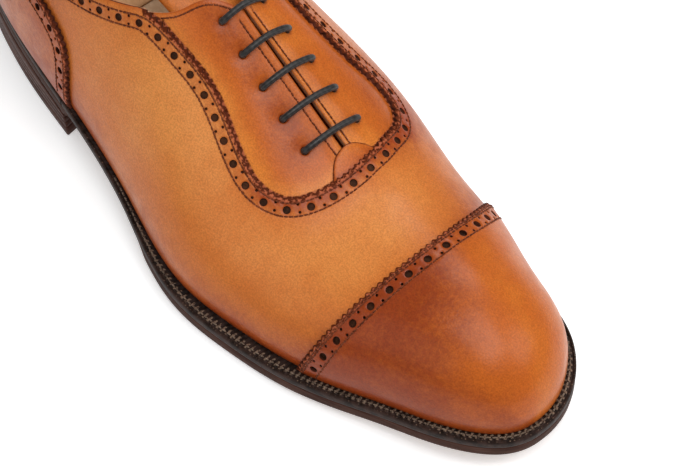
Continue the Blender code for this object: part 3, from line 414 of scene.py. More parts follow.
def leather_piece(name, node_name, outlines, layer, surfaces, holes=(), guides=(), relief=None,
                  tint=None, ink_and_shadow=None, dark_lines=(), hole_drop=0.0, lift=None, body="shoe"):
    """A piece of leather lying on the form, its outlines and holes in (station, girth).

    Each outline comes with how far its edge is pressed down. Guides are extra (points, height) where
    the leather is pressed or raised, such as stitch grooves. Surfaces are the face, cut edge and back.
    The ink_and_shadow line has a broad dark band along it: ink on toothed edges, painted shadow on
    the facings under the vamp's edge. Dark lines get a fine band: stitch rows, and the throat tab's
    painted shadow line. Tint gives the burnish_and_shading field: burnish, painted shade and highlight.
    """
    loops = [np.array(outline, float) for outline, _ in outlines] + list(holes)
    heights = [-drop * np.ones(len(outline)) for outline, drop in outlines]
    heights += [np.full(len(h), -hole_drop) for h in holes]
    loops = [np.stack([row_of(o[:, 0]), column_of(o[:, 1])], 1) for o in loops]
    starts = np.concatenate([[0], np.cumsum([len(loop) for loop in loops])])
    corners = np.concatenate(loops)
    follow = np.concatenate([np.roll(np.arange(s, e), -1) for s, e in zip(starts[:-1], starts[1:])])
    edges = (corners, corners[follow])
    extra = [np.stack([row_of(q[:, 0]), column_of(q[:, 1])], 1) for q, _ in guides]
    heights += [np.full(len(q), float(h)) for q, h in guides]
    fixed = np.concatenate([corners, *extra])
    lo = np.maximum(np.floor(corners.min(0)).astype(int), 0)
    hi = np.minimum(np.ceil(corners.max(0)).astype(int), (FINE_ROWS, FINE_COLUMNS))
    grid = np.stack(np.meshgrid(np.arange(lo[0], hi[0] + 1), np.arange(lo[1], hi[1] + 1), indexing="ij"), -1)
    grid = grid.reshape(-1, 2).astype(float)
    grid = grid[inside(grid, edges)]
    grid = grid[nearest([(*q, 0) for q in grid], [(*q, 0) for q in fixed]) > 0.3]
    cloud = np.concatenate([fixed, grid])
    height = np.concatenate([*heights, np.zeros(len(grid))])
    borders = list(zip(range(len(corners)), follow.tolist()))
    verts, _, faces, origin, _, _ = delaunay_2d_cdt([Vector(q) for q in cloud], borders, [], 0, 1e-5)
    flat = np.array([tuple(v) for v in verts])
    height = np.array([height[o[0]] if o else 0.0 for o in origin])
    faces = np.array([f for f in faces if len(f) == 3])
    faces = faces[inside(flat[faces].mean(1), edges)]
    used, faces = np.unique(faces, return_inverse=True)
    faces = faces.reshape(-1, 3)
    flat, height = flat[used], height[used]
    x, g = station_of(flat[:, 0]), girth_of(flat[:, 1])
    skin, n = form(x, g), form_normal(x, g)
    a, b, c = (skin[faces[:, k]] for k in range(3))
    turned = (np.cross(b - a, c - a) * n[faces].mean(1)).sum(1) < 0
    faces[turned] = faces[turned][:, ::-1]
    if relief is not None:
        height = height + relief(x, g, skin)
    base = skin if lift is None else skin + lift(x, g, n)
    top = base + n * (layer[1] + height)[:, None]
    low = base + n * layer[0]
    directed = np.concatenate([faces[:, [0, 1]], faces[:, [1, 2]], faces[:, [2, 0]]])
    _, first, count = np.unique(np.sort(directed, axis=1), axis=0, return_index=True, return_counts=True)
    rim = directed[first[count == 1]]
    middle = (flat[rim][:, :, 0].max(1) < 0.02) | (flat[rim][:, :, 0].min(1) > FINE_ROWS - 0.02)
    rim = rim[~middle]
    total = len(skin)
    walls = np.stack([rim[:, 1], rim[:, 0], rim[:, 0] + total, rim[:, 1] + total], 1)
    points = np.concatenate([top, low])
    a, b, c = (points[walls[:, k]] for k in range(3))
    wall_n = unit(np.cross(b - a, c - b))
    skin_n = unit(n + mesh_normals(top, faces) - mesh_normals(skin, faces))
    corner_n = np.concatenate([skin_n[faces].reshape(-1, 3), -n[faces][:, ::-1].reshape(-1, 3),
                               np.repeat(wall_n, 4, axis=0)])
    all_faces = faces.tolist() + (faces[:, ::-1] + total).tolist() + walls.tolist()
    edge = nearest(skin, skin[np.unique(rim)])
    # Distance to the ink_and_shadow line: ink on toothed edges, painted shadow on the facings
    inked = np.full(total, 9.0) if ink_and_shadow is None else nearest(skin, on_form(ink_and_shadow))
    # Each dark line adds a fine dark band: along stitch rows, and on the throat tab a painted shadow line
    for seam in dark_lines:
        fine = even(seam, 0.5)
        inked = np.minimum(inked, nearest(skin, on_form(fine)) + DARK_LINE_OFFSET)
    # Burnish together with painted shade and painted highlight, as each piece's tint gives them
    burnish_and_shading = np.zeros(total) if tint is None else tint(x, g, skin)
    fields = {"edge": np.tile(edge, 2), "ink_and_shadow": np.tile(inked, 2), "burnish_and_shading": np.tile(burnish_and_shading, 2)}
    made = make_object(name, points, all_faces, surfaces[0], normals=corner_n, fields=fields, body=body)
    made.data.materials.append(surfaces[1])
    made.data.materials.append(surfaces[2] if len(surfaces) > 2 else surfaces[1])
    kinds = np.repeat([0, 2, 1], [len(faces), len(faces), len(walls)])
    made.data.polygons.foreach_set("material_index", kinds.astype(np.int32))
    dressed(node_name)


def mesh_normals(points, faces):
    """Area-weighted point normals of triangles."""
    a, b, c = (points[faces[:, k]] for k in range(3))
    n = np.cross(b - a, c - a)
    total = np.zeros_like(points)
    for k in range(3):
        np.add.at(total, faces[:, k], n)
    return unit(total)


def quads(rows, columns, wrap=False, start=0):
    """Faces of a lattice of points, row after row; its columns close into rings where wrap is set."""
    corners = [(0, 0), (1, 0), (1, 1), (0, 1)]
    return [tuple(start + (i + a) * columns + (k + b) % columns for a, b in corners)
            for i in range(rows - 1) for k in range(columns if wrap else columns - 1)]


def turned_over(faces):
    return [f[::-1] for f in faces]


def capsules(a, b, up, thread):
    """Small rounded threads from each a to each b, bedded a little at their ends."""
    t = unit(b - a)
    up = unit(up - t * (up * t).sum(1, keepdims=True))
    side = np.cross(up, t)
    rings = [(0.02, 0.15, -0.30), (0.14, 0.8, -0.05), (0.5, 1.0, 0.10), (0.86, 0.8, -0.05),
             (0.98, 0.15, -0.30)]
    sides = 8
    points = []
    for part, wide, rise in rings:
        for k in range(sides):
            angle = 2 * math.pi * k / sides
            around = side * math.cos(angle) + up * math.sin(angle)
            points.append(a + (b - a) * part + around * thread / 2 * wide + up * rise * thread)
    points = np.stack(points, 1)
    faces = quads(len(rings), sides, True)
    base = (np.arange(len(a)) * points.shape[1])[:, None, None]
    return points.reshape(-1, 3), (np.array(faces)[None] + base).reshape(-1, 4).tolist()


def stitch_row(line, height, sway):
    """One row of lockstitch along a line: points and faces."""
    line = even(line, STITCH_PITCH)
    if sway:
        line = shifted(line, np.where(np.arange(len(line)) % 2, sway, -sway))
    n = normals_on(line)
    solid = on_form(line) + n * height
    points, faces = capsules(solid[:-1], solid[1:], n[:-1], THREAD)
    return points, np.array(faces)


def brogued(line, inward=-1.0):
    """Punched holes and their pressed rims along an edge: large ones with slanted small pairs between."""
    centre = even(shifted(even(line, 2.0), BAND_HOLES * inward), HOLE_PITCH)
    centre = centre[np.abs(centre[:, 1]) < 0.98]
    middle = (centre[:-1] + centre[1:]) / 2
    holes = [ring(c, HOLE_LARGE, 16) for c in centre]
    rims = [ring(c, HOLE_LARGE + 1.0, 16) for c in centre]
    for sign in (-1, 1):
        t, side = frames(middle)
        for c in stepped(middle, (side * PAIR_SPREAD - t * 0.2) * sign):
            holes.append(ring(c, HOLE_SMALL, 9))
            rims.append(ring(c, HOLE_SMALL + 0.7, 9))
    return holes, [(np.concatenate(rims), 0.0)]


def groove(line, width=0.42):
    """Guides that press a stitch line into the leather."""
    line = even(line, 1.0)
    return [(line, -GROOVE_DEPTH), (shifted(line, width), 0.0), (shifted(line, -width), 0.0)]


def gimp_guides(line, inward=-1.0):
    """Guides round the inked edge of a gimped band."""
    line = even(line, 0.9)
    return [(shifted(line, 1.55 * inward), 0.0), (shifted(line, 2.0 * inward), 0.0)]


def joined(*parts):
    """Lines joined end to end at their nearest points, their overshooting ends dropped."""
    whole = even(parts[0], 1.0)
    for part in parts[1:]:
        part = even(part, 1.0)
        a, b = on_form(whole), on_form(part)
        gap = np.linalg.norm(a[:, None] - b[None], axis=2)
        i, j = np.unravel_index(gap.argmin(), gap.shape)
        whole = np.concatenate([whole[:i], part[j + 1:]])
    return whole


def haze(skin, line, reach):
    """1 on a line, fading over so many mm away from it."""
    return np.exp(-nearest(skin, on_form(line)) / reach)


def spot(skin, place, reach):
    """1 at a place on the form, fading round it."""
    centre = form(np.array([place[0]]), np.array([place[1]]))[0]
    return np.exp(-(np.linalg.norm(skin - centre, axis=1) / reach) ** 2)


# ---- materials ------------------------------------------------------------------------------------
# EDGE_INK_AND_SHADOW: ink, and painted shadow on the facings. TOOTH_GLINT: painted highlight on the teeth
EDGE_INK_AND_SHADOW = (0.085, 0.016, 0.005)
TOOTH_GLINT = (0.44, 0.115, 0.050)


def new_material(name):
    made = bpy.data.materials.new(name)
    made.use_nodes = True
    tree = made.node_tree
    shader = next(n for n in tree.nodes if n.type == "BSDF_PRINCIPLED")
    return made, tree, shader


def node(tree, kind, inputs=None, **settings):
    """A shader node, its inputs given as constants or as other nodes' outputs."""
    made = tree.nodes.new("ShaderNode" + kind)
    for key, value in settings.items():
        setattr(made, key, value)
    for key, value in (inputs or {}).items():
        socket = made.inputs[key]
        if isinstance(value, bpy.types.NodeSocket):
            tree.links.new(value, socket)
        else:
            socket.default_value = value
    return made


def mix(tree, factor, a, b, blend="MIX"):
    made = node(tree, "Mix", data_type="RGBA", blend_type=blend)
    for key, value in ((0, factor), (6, a), (7, b)):
        if isinstance(value, bpy.types.NodeSocket):
            tree.links.new(value, made.inputs[key])
        else:
            made.inputs[key].default_value = value if key == 0 else (*value, 1)
    return made.outputs[2]


def maths(tree, operation, *values, clamp=False):
    made = node(tree, "Math", dict(enumerate(values)), operation=operation, use_clamp=clamp)
    return made.outputs[0]


def span(tree, value, low, high, to_low=0.0, to_high=1.0):
    """A value's range mapped smoothly to another, held beyond its ends."""
    made = node(tree, "MapRange", {0: value, 1: low, 2: high, 3: to_low, 4: to_high},
                interpolation_type="SMOOTHSTEP")
    return made.outputs[0]


def texture(tree, kind, scale, stretch=(1, 1, 1), **settings):
    """A noise or cell texture in the object's own metres, by its number of features per metre."""
    place = node(tree, "TexCoord").outputs["Object"]
    place = node(tree, "Mapping", {"Vector": place, "Scale": stretch}).outputs[0]
    inputs = {"Vector": place, "Scale": scale}
    detail = settings.pop("detail", None)
    if detail is not None:
        inputs["Detail"] = detail
    return node(tree, "Tex" + kind, inputs, **settings).outputs[0]


def bumped(tree, shader, *layers):
    """Bumps chained onto a shader: (height, strength, distance in mm)."""
    last = None
    for height, strength, distance in layers:
        inputs = {"Height": height, "Strength": strength, "Distance": distance * MM}
        if last is not None:
            inputs["Normal"] = last
        last = node(tree, "Bump", inputs).outputs[0]
    tree.links.new(last, shader.inputs["Normal"])


def paint(tree, shader, colour, roughness):
    tree.links.new(colour, shader.inputs["Base Color"])
    if isinstance(roughness, bpy.types.NodeSocket):
        tree.links.new(roughness, shader.inputs["Roughness"])
    else:
        shader.inputs["Roughness"].default_value = roughness


def calf(name, light, main, deep, roughness=0.38, grain=0.4):
    """Polished, hand-burnished calf: pores, cloudy dye, darker where it is burnished or inked.
    The burnish_and_shading field also carries painted shade and painted highlight, and the
    ink_and_shadow band also carries painted shadow.
    """
    made, tree, shader = new_material(name)
    burnish_and_shading = node(tree, "Attribute", attribute_name="burnish_and_shading").outputs["Fac"]
    edge = node(tree, "Attribute", attribute_name="edge").outputs["Fac"]
    inked = node(tree, "Attribute", attribute_name="ink_and_shadow").outputs["Fac"]
    clouds = texture(tree, "Noise", 26, detail=3.0)
    dapple = texture(tree, "Noise", 150, detail=5.0)
    mottle = texture(tree, "Noise", 640, detail=4.0)
    speck = texture(tree, "Noise", 1900, detail=3.0)
    pores = texture(tree, "Voronoi", 1500, feature="F1")
    cells = texture(tree, "Voronoi", 620, (1.0, 1.35, 1.0), feature="SMOOTH_F1")
    # Burnish, painted shade and painted highlight from the tint, clouded by noise
    tone_darkening = burnish_and_shading
    streaky = maths(tree, "MULTIPLY", burnish_and_shading, 0.6)
    for cloud, share in ((clouds, 0.75), (dapple, 0.26), (mottle, streaky)):
        tone_darkening = maths(tree, "MULTIPLY_ADD", maths(tree, "SUBTRACT", cloud, 0.5), share, tone_darkening)
    colour = mix(tree, span(tree, tone_darkening, -0.15, 0.45), light, main)
    colour = mix(tree, span(tree, tone_darkening, 0.35, 1.0), colour, deep)
    shade = span(tree, speck, 0.25, 0.75, 0.80, 1.13)
    shade = node(tree, "CombineColor", {0: shade, 1: shade, 2: shade}).outputs[0]
    colour = mix(tree, 1.0, colour, shade, "MULTIPLY")
    near_edge = maths(tree, "MULTIPLY", span(tree, edge, 0.0, 1.1, 1.0, 0.0), 0.45)
    colour = mix(tree, near_edge, colour, deep)
    # Within the dark band, teeth away from their cut edge get TOOTH_GLINT in patches: a painted highlight
    rope = texture(tree, "Noise", 900, detail=2.0)
    tooth = maths(tree, "MULTIPLY", span(tree, rope, 0.40, 0.62), span(tree, edge, 0.12, 0.55))
    glint = mix(tree, tooth, EDGE_INK_AND_SHADOW, TOOTH_GLINT)
    dark = maths(tree, "ADD", inked, maths(tree, "MULTIPLY", maths(tree, "SUBTRACT", rope, 0.5), 0.7))
    dark = span(tree, dark, INK_AND_SHADOW_REACH - 0.55, INK_AND_SHADOW_REACH, 1.0, 0.0)
    colour = mix(tree, dark, colour, glint)
    rough = span(tree, dapple, 0.3, 0.7, roughness - 0.05, roughness + 0.06)
    paint(tree, shader, colour, maths(tree, "MULTIPLY_ADD", dark, 0.25, rough))
    tree.links.new(maths(tree, "MULTIPLY_ADD", dark, -0.11, 0.13), shader.inputs["Coat Weight"])
    tree.links.new(maths(tree, "MULTIPLY_ADD", dark, -0.14, 0.16), shader.inputs["Specular IOR Level"])
    shader.inputs["Coat Roughness"].default_value = 0.22
    bumped(tree, shader, (dapple, 0.12, 0.5), (cells, grain * 0.7, 0.14), (pores, grain, 0.10),
           (speck, 0.12, 0.05))
    return made


def plain_leather(name, dark, pale, roughness, scale=700):
    """Undressed or lining leather: fibrous speckle in two tones."""
    made, tree, shader = new_material(name)
    shader.inputs["Specular IOR Level"].default_value = 0.15
    broad = texture(tree, "Noise", 60, detail=4.0)
    fine = texture(tree, "Noise", scale, detail=6.0)
    value = maths(tree, "ADD", maths(tree, "MULTIPLY", broad, 0.6), maths(tree, "MULTIPLY", fine, 0.5))
    paint(tree, shader, mix(tree, span(tree, value, 0.35, 0.75), dark, pale), roughness)
    bumped(tree, shader, (fine, 0.3, 0.12), (broad, 0.15, 0.5))
    return made


def edge_leather(name, dark, pale, roughness=0.38):
    """Dyed and waxed edge of stacked leather: faint layers, scuffed patches."""
    made, tree, shader = new_material(name)
    layers = texture(tree, "Noise", 420, (0.12, 0.12, 2.4), detail=4.0)
    patches = texture(tree, "Noise", 70, detail=5.0)
    fine = texture(tree, "Noise", 1500, detail=3.0)
    value = maths(tree, "MULTIPLY_ADD", layers, 0.55, maths(tree, "MULTIPLY", patches, 0.45))
    rough = span(tree, fine, 0.2, 0.8, roughness - 0.08, roughness + 0.12)
    paint(tree, shader, mix(tree, span(tree, value, 0.38, 0.66), dark, pale), rough)
    shader.inputs["Specular IOR Level"].default_value = 0.03
    bumped(tree, shader, (layers, 0.22, 0.15), (patches, 0.18, 0.4), (fine, 0.12, 0.05))
    return made


def wheeled_leather(name, dark, pale, ridge_highlight):
    """Dark welt leather, its wheel marks' raised parts and the bead's crest painted pale as a highlight."""
    made, tree, shader = new_material(name)
    raised = node(tree, "Attribute", attribute_name="ridge_highlight").outputs["Fac"]
    patches = texture(tree, "Noise", 320, detail=4.0)
    fine = texture(tree, "Noise", 1500, detail=4.0)
    colour = mix(tree, span(tree, patches, 0.35, 0.65), dark, pale)
    painted_ridge_light = maths(tree, "ADD", raised, maths(tree, "MULTIPLY", maths(tree, "SUBTRACT", fine, 0.5), 2.0))
    paint(tree, shader, mix(tree, span(tree, painted_ridge_light, 0.62, 1.05), colour, ridge_highlight), 0.5)
    shader.inputs["Specular IOR Level"].default_value = 0.1
    bumped(tree, shader, (fine, 0.5, 0.2), (patches, 0.3, 0.3))
    return made


def granular(name, dark, pale, scale, roughness, bump=0.6, metal=0.0):
    """Speckled stuff such as cork, canvas, rubber or board."""
    made, tree, shader = new_material(name)
    cells = texture(tree, "Voronoi", scale, feature="F1")
    fine = texture(tree, "Noise", scale * 1.7, detail=4.0)
    value = maths(tree, "MULTIPLY_ADD", cells, 0.6, maths(tree, "MULTIPLY", fine, 0.6))
    paint(tree, shader, mix(tree, span(tree, value, 0.25, 0.8), dark, pale), roughness)
    shader.inputs["Metallic"].default_value = metal
    bumped(tree, shader, (cells, bump, 0.2), (fine, bump * 0.5, 0.1))
    return made


def thread_material(name, dark, pale, roughness=0.6):
    made, tree, shader = new_material(name)
    shader.inputs["Specular IOR Level"].default_value = 0.15
    fine = texture(tree, "Noise", 2400, detail=2.0)
    broad = texture(tree, "Noise", 90, detail=2.0)
    value = maths(tree, "MULTIPLY_ADD", fine, 0.6, maths(tree, "MULTIPLY", broad, 0.4))
    paint(tree, shader, mix(tree, span(tree, value, 0.35, 0.65), dark, pale), roughness)
    bumped(tree, shader, (fine, 0.3, 0.05))
    return made


def waxed_cord(name):
    """Round waxed lace: a fine plaited cover, painted lighter on the plait's crowns as highlight and darker
    between them as shade.
    """
    made, tree, shader = new_material(name)
    plait_shading = node(tree, "Attribute", attribute_name="plait_shading").outputs["Fac"]
    wax = texture(tree, "Noise", 420, detail=4.0)
    fine = texture(tree, "Noise", 3000, detail=2.0)
    value = maths(tree, "MULTIPLY_ADD", plait_shading, 0.6, maths(tree, "MULTIPLY", wax, 0.5))
    colour = mix(tree, span(tree, value, 0.25, 0.95), (0.006, 0.0055, 0.005), (0.032, 0.028, 0.026))
    paint(tree, shader, colour, span(tree, wax, 0.3, 0.7, 0.34, 0.52))
    shader.inputs["Sheen Weight"].default_value = 0.08
    shader.inputs["Specular IOR Level"].default_value = 0.35
    bumped(tree, shader, (fine, 0.25, 0.05), (wax, 0.2, 0.15))
    return made


TAN = calf("tan_calf", (0.71, 0.268, 0.064), (0.55, 0.152, 0.025), (0.30, 0.045, 0.005))
BURNISHED = calf("burnished_calf", (0.69, 0.215, 0.030), (0.48, 0.105, 0.011), (0.25, 0.036, 0.004),
                 roughness=0.34, grain=0.3)
INKED_EDGE = edge_leather("inked_edge", (0.040, 0.012, 0.007), (0.12, 0.036, 0.022), 0.6)
PALE_EDGE = plain_leather("cut_leather_edge", (0.42, 0.16, 0.07), (0.66, 0.33, 0.19), 0.6, 1400)
FLESH_SIDE = plain_leather("flesh_side", (0.40, 0.22, 0.12), (0.58, 0.36, 0.21), 0.85, 1500)
LINING = plain_leather("lining_leather", (0.46, 0.235, 0.105), (0.60, 0.345, 0.175), 0.55)
# Painted shade: the backing seen through the punched holes is coloured almost black
SHADED_UNDERLAY = plain_leather("brogue_underlay_painted_shade", (0.018, 0.006, 0.002), (0.080, 0.026, 0.010), 0.8, 1200)
THREAD_MATERIAL = thread_material("upper_thread", (0.060, 0.012, 0.004), (0.19, 0.046, 0.016))
WELT_LEATHER = wheeled_leather("welt_leather", (0.012, 0.006, 0.004), (0.040, 0.021, 0.016),
                               (0.22, 0.145, 0.100))
WELT_THREAD = thread_material("welt_thread", (0.060, 0.040, 0.028), (0.30, 0.215, 0.155), 0.5)
SOLE_EDGE = edge_leather("sole_edge", (0.038, 0.015, 0.010), (0.078, 0.036, 0.026), 0.5)
SOLE_FACE = plain_leather("sole_face", (0.16, 0.075, 0.040), (0.27, 0.15, 0.085), 0.5, 500)
HEEL_LEATHER = edge_leather("heel_leather", (0.050, 0.019, 0.013), (0.100, 0.046, 0.034), 0.42)
RUBBER = granular("heel_rubber", (0.012, 0.012, 0.012), (0.030, 0.030, 0.031), 900, 0.7, 0.3)
INSOLE = plain_leather("insole_leather", (0.42, 0.26, 0.15), (0.60, 0.42, 0.27), 0.7)
CANVAS = granular("rib_canvas", (0.42, 0.38, 0.30), (0.70, 0.66, 0.56), 1600, 0.9)
CORK = granular("cork", (0.20, 0.10, 0.045), (0.52, 0.33, 0.17), 420, 0.9)
BOARD = granular("stiffener_board", (0.30, 0.23, 0.15), (0.52, 0.43, 0.31), 800, 0.85)
STEEL = granular("shank_steel", (0.30, 0.30, 0.32), (0.55, 0.55, 0.57), 700, 0.35, 0.1, 1.0)
BRASS = granular("nail_brass", (0.45, 0.28, 0.09), (0.72, 0.50, 0.20), 900, 0.32, 0.1, 1.0)
EYELET = granular("eyelet_metal", (0.16, 0.11, 0.06), (0.34, 0.25, 0.14), 900, 0.4, 0.1, 1.0)
LACE = waxed_cord("waxed_cord")
AGLET = granular("aglet_plastic", (0.010, 0.009, 0.009), (0.030, 0.028, 0.026), 600, 0.25, 0.05)
TAN_PIECE = (TAN, INKED_EDGE, FLESH_SIDE)
BURNISHED_PIECE = (BURNISHED, INKED_EDGE, FLESH_SIDE)
FACING_PIECE = (BURNISHED, PALE_EDGE, FLESH_SIDE)
LINING_PIECE = (LINING, PALE_EDGE, LINING)


# ---- shoelace, along its real route -------------------------------------------------------------------
LACE_OVER = 0.0
LACE_UNDER = -6.15
LACE_BORE = -2.6


def eyelet_spot(side, row, depth, slip=0.0):
    x = np.array([EYELET_X[row]], float)
    g = np.array([EYELET_G[side]])
    n = form_normal(x, g)[0]
    return form(x, g)[0] + n * depth + np.cross(n, (1, 0, 0)) * slip


def lace_bar(side, row):
    """Up through one eyelet, over the gap and down through the other."""
    near, far = EYELET_G[side], EYELET_G[-side]
    depths = (LACE_UNDER + 0.6, LACE_BORE, LACE_OVER - 0.7)
    path = [eyelet_spot(side, row, d) for d in depths]
    for k in (0.12, 0.3, 0.5, 0.7, 0.88):
        x, g = np.array([EYELET_X[row]], float), np.array([near * (1 - k) + far * k])
        path.append(form(x, g)[0] + form_normal(x, g)[0] * (LACE_OVER + 0.25))
    return path + [eyelet_spot(-side, row, d) for d in depths[::-1]]


def lace_run(side, rows, slip):
    return [eyelet_spot(side, row, LACE_UNDER, slip) for row in rows]


def lace_route():
    tail_a = [(84, -13, 18.5), (75, -18, 17.5), (62, -22, 17), (44, -26, 17), (24, -26, 18), (10, -27, 23),
              (4, -28, 33), (2, -27, 44), (3, -23, 53)]
    tail_b = [(-6, 21, 59), (-5, 26, 50), (-3, 27, 40), (2, 26, 29), (14, 25, 20), (34, 27, 17),
              (54, 27, 17), (70, 23, 17.5), (80, 17, 18.5)]
    path = [np.array(p) + CENTRE_SHIFT for p in tail_a]
    path += lace_run(-1, [1], -5.0) + lace_bar(-1, 1)
    path += lace_run(1, [1, 2, 3], 3.0) + lace_bar(1, 3)
    path += lace_run(-1, [3, 4], 1.0) + lace_bar(-1, 4)
    path += lace_run(1, [4, 3, 2], -3.0) + lace_bar(1, 2)
    path += lace_run(-1, [2, 1, 0], 3.0) + lace_bar(-1, 0)
    path += lace_run(1, [0], 3.0)
    return np.array(path + [np.array(p) + CENTRE_SHIFT for p in tail_b])


def rounded_path(path, spacing):
    """Smooth curve through points (Catmull-Rom by chord length), evenly spaced."""
    p = np.concatenate([[2 * path[0] - path[1]], path, [2 * path[-1] - path[-2]]])
    out = []
    for a, b, c, d in zip(p[:-3], p[1:-2], p[2:-1], p[3:]):
        ka, kb, kc = (max(np.linalg.norm(v - u), 1e-6) ** 0.5 for u, v in ((a, b), (b, c), (c, d)))
        into = (b - a) / ka - (c - a) / (ka + kb) + (c - b) / kb
        away = (c - b) / kb - (d - b) / (kb + kc) + (d - c) / kc
        into, away = into * kb, away * kb
        t = np.linspace(0, 1, 24, endpoint=False)[:, None]
        done = 3 * t**2 - 2 * t**3
        out.append((1 - done) * b + (t**3 - 2 * t**2 + t) * into + done * c + (t**3 - t**2) * away)
    fine = np.concatenate([*out, [path[-1]]])
    along = lengths(fine)
    q = np.linspace(0, along[-1], int(along[-1] / spacing) + 1)
    return np.stack([np.interp(q, along, c) for c in fine.T], 1), q


def tube(path, radius, sides, bulge):
    """Rings of a tube that doesn't twist, its radius changed by bulge(along, angle)."""
    t = unit(np.gradient(path, axis=0))
    e = unit(np.cross(t[0], (0, 0, 1.0)))
    rings = []
    angle = np.arange(sides) * 2 * math.pi / sides
    for k, (p, d) in enumerate(zip(path, t)):
        e = unit(e - d * (e @ d))
        f = np.cross(d, e)
        r = radius * (1 + bulge(k, angle))
        rings.append(p + r[:, None] * (np.cos(angle)[:, None] * e + np.sin(angle)[:, None] * f))
    count = len(path)
    faces = turned_over(quads(count, sides, True))
    faces += [tuple(range(sides))[::-1], tuple((count - 1) * sides + k for k in range(sides))]
    return np.concatenate(rings), faces


def build_lace():
    path, along = rounded_path(lace_route(), 0.3)
    sides = 16
    turn = 2 * math.pi / 3.6

    def plait(k, angle):
        return 0.035 * np.cos(4 * angle + turn * along[k]) * np.cos(4 * angle - turn * along[k])

    points, faces = tube(path, LACE_DIAMETER / 2, sides, plait)
    angle = np.arange(sides) * 2 * math.pi / sides
    # Painted highlight on the plait's crowns and painted shade between them
    plait_shading = np.concatenate([0.5 + plait(k, angle) / 0.07 for k in range(len(path))])
    made = make_object("shoelace_cord", points, faces, LACE, fields={"plait_shading": plait_shading})
    dressed("shoelace")


build_lace()


# ---- upper ----------------------------------------------------------------------------------------
def stitching(name, lines, height):
    """Rows of stitches, each (line, sway) on the form at a height above the vamp's face."""
    points, faces, total = [], [], 0
    for line, sway in lines:
        p, f = stitch_row(line, height, sway)
        points.append(p)
        faces += (f + total).tolist()
        total += len(p)
    make_object(name, np.concatenate(points), faces, THREAD_MATERIAL)


def underlay(name, line, near, far, height):
    """Backing leather under a punched band, seen through its holes, coloured dark as painted shade."""
    line = even(line, 3.0)
    a, b = shifted(line, near), shifted(line, far)
    rows = [a + (b - a) * k / 4 for k in range(5)]
    solid = np.stack([on_form(r) + normals_on(r) * height for r in rows], 1)
    made = make_object(name, solid.reshape(-1, 3), quads(len(line), 5), SHADED_UNDERLAY)


CAP_LAYER = (0.3, 1.5)
VAMP_LAYER = (-1.2, 0.0)
INNER_LAYER = (-2.5, -1.5)
LINING_LAYER = (-3.8, -2.8)
QUARTER_LINING_LAYER = (-3.8, -2.7)
TAB_LAYER = (-1.4, -0.45)
TAB_TUCK = 1.6
TOE_TIP = TOE_X - 0.005
HEEL_TIP = HEEL_X + 0.01
throat = smooth_line(THROAT, 240)
cap_line = smooth_line(CAP_LINE, 200)
collar_lateral = collar_line(-1, HEEL_X + 1, THROAT[0][0] - 3, 0.0, 90)
collar_medial = collar_line(1, THROAT[-1][0] - 3, HEEL_X + 1, 0.0, 90)
back_top = np.array([[HEEL_X, girth_at_height(HEEL_X, float(collar_z(HEEL_X)), s)] for s in (-1, 1)])


def upper_edge_line(offset):
    """A line parallel to the collar and throat, on the leather side of them."""
    parts = [shifted(even(part, 1.5), -offset) for part in (collar_lateral, throat, collar_medial)]
    return joined(*parts)


def build_vamp():
    toothed, notch = gimped(throat, -1)
    cap_under = even(cap_line, 3.0) + (8.5, 0)
    medial_foot = feather_line(1, cap_under[-1, 0] - 3, HEEL_TIP, 170)
    lateral_foot = feather_line(-1, HEEL_TIP, cap_under[0, 0] - 3, 170)
    parts = [(cap_under, 0.0), (medial_foot, 0.0), (back_top[1:], 0.0), (collar_medial[::-1], COLLAR_DROP),
             (toothed[::-1], EDGE_DROP - TOOTH_RISE * notch[::-1]), (collar_lateral[::-1], COLLAR_DROP),
             (back_top[:1], 0.0), (lateral_foot, 0.0)]
    outline = np.concatenate([part for part, _ in parts])
    drop = np.concatenate([np.zeros(len(part)) + pressed for part, pressed in parts])
    inner, outer = upper_edge_line(BAND_INNER_STITCH), upper_edge_line(BAND_OUTER_STITCH)
    edge = joined(collar_lateral, throat, collar_medial)
    holes, rims = brogued(edge)
    guides = rims + groove(inner) + groove(outer) + gimp_guides(throat)
    guides += [(shifted(even(c, 1.5), -0.9), 0.0) for c in (collar_lateral, collar_medial)]
    feather = both_feathers(HEEL_X, 100, 120)
    front = even(throat, 3.0)
    front = front[front[:, 0] > 36]

    def tint(x, g, skin):
        # Painted shade: darker over the lower lateral side, which faces down. Burnish: darker near the
        # collar, throat and cap seam, most at the throat's front. Also darker over the medial side, towards
        # the feather edge and in a patch low on the lateral quarter.
        value = 0.06 + 0.40 * np.clip((g - 0.12) / 0.3, 0, 1) + 0.36 * np.clip((-0.45 - g) / 0.5, 0, 1)
        near = ((edge, 0.30, 5.0), (cap_line, 0.30, 8.0), (feather, 0.52, 9.0), (front, 1.05, 6.5))
        for line, share, reach in near:
            value += share * haze(skin, line, reach)
        return value + 0.3 * spot(skin, (-52, -0.72), 18)

    leather_piece("vamp_leather", "vamp", [(outline, drop)], VAMP_LAYER, TAN_PIECE, holes, guides,
                  tint=tint, ink_and_shadow=even(throat, 0.8), dark_lines=(inner, outer), hole_drop=HOLE_DROP)
    underlay("vamp_brogue_underlay", edge, -2.0, -7.4, -0.8)
    stitching("vamp_edge_stitching", [(inner, 0), (outer, 0)], -0.02)


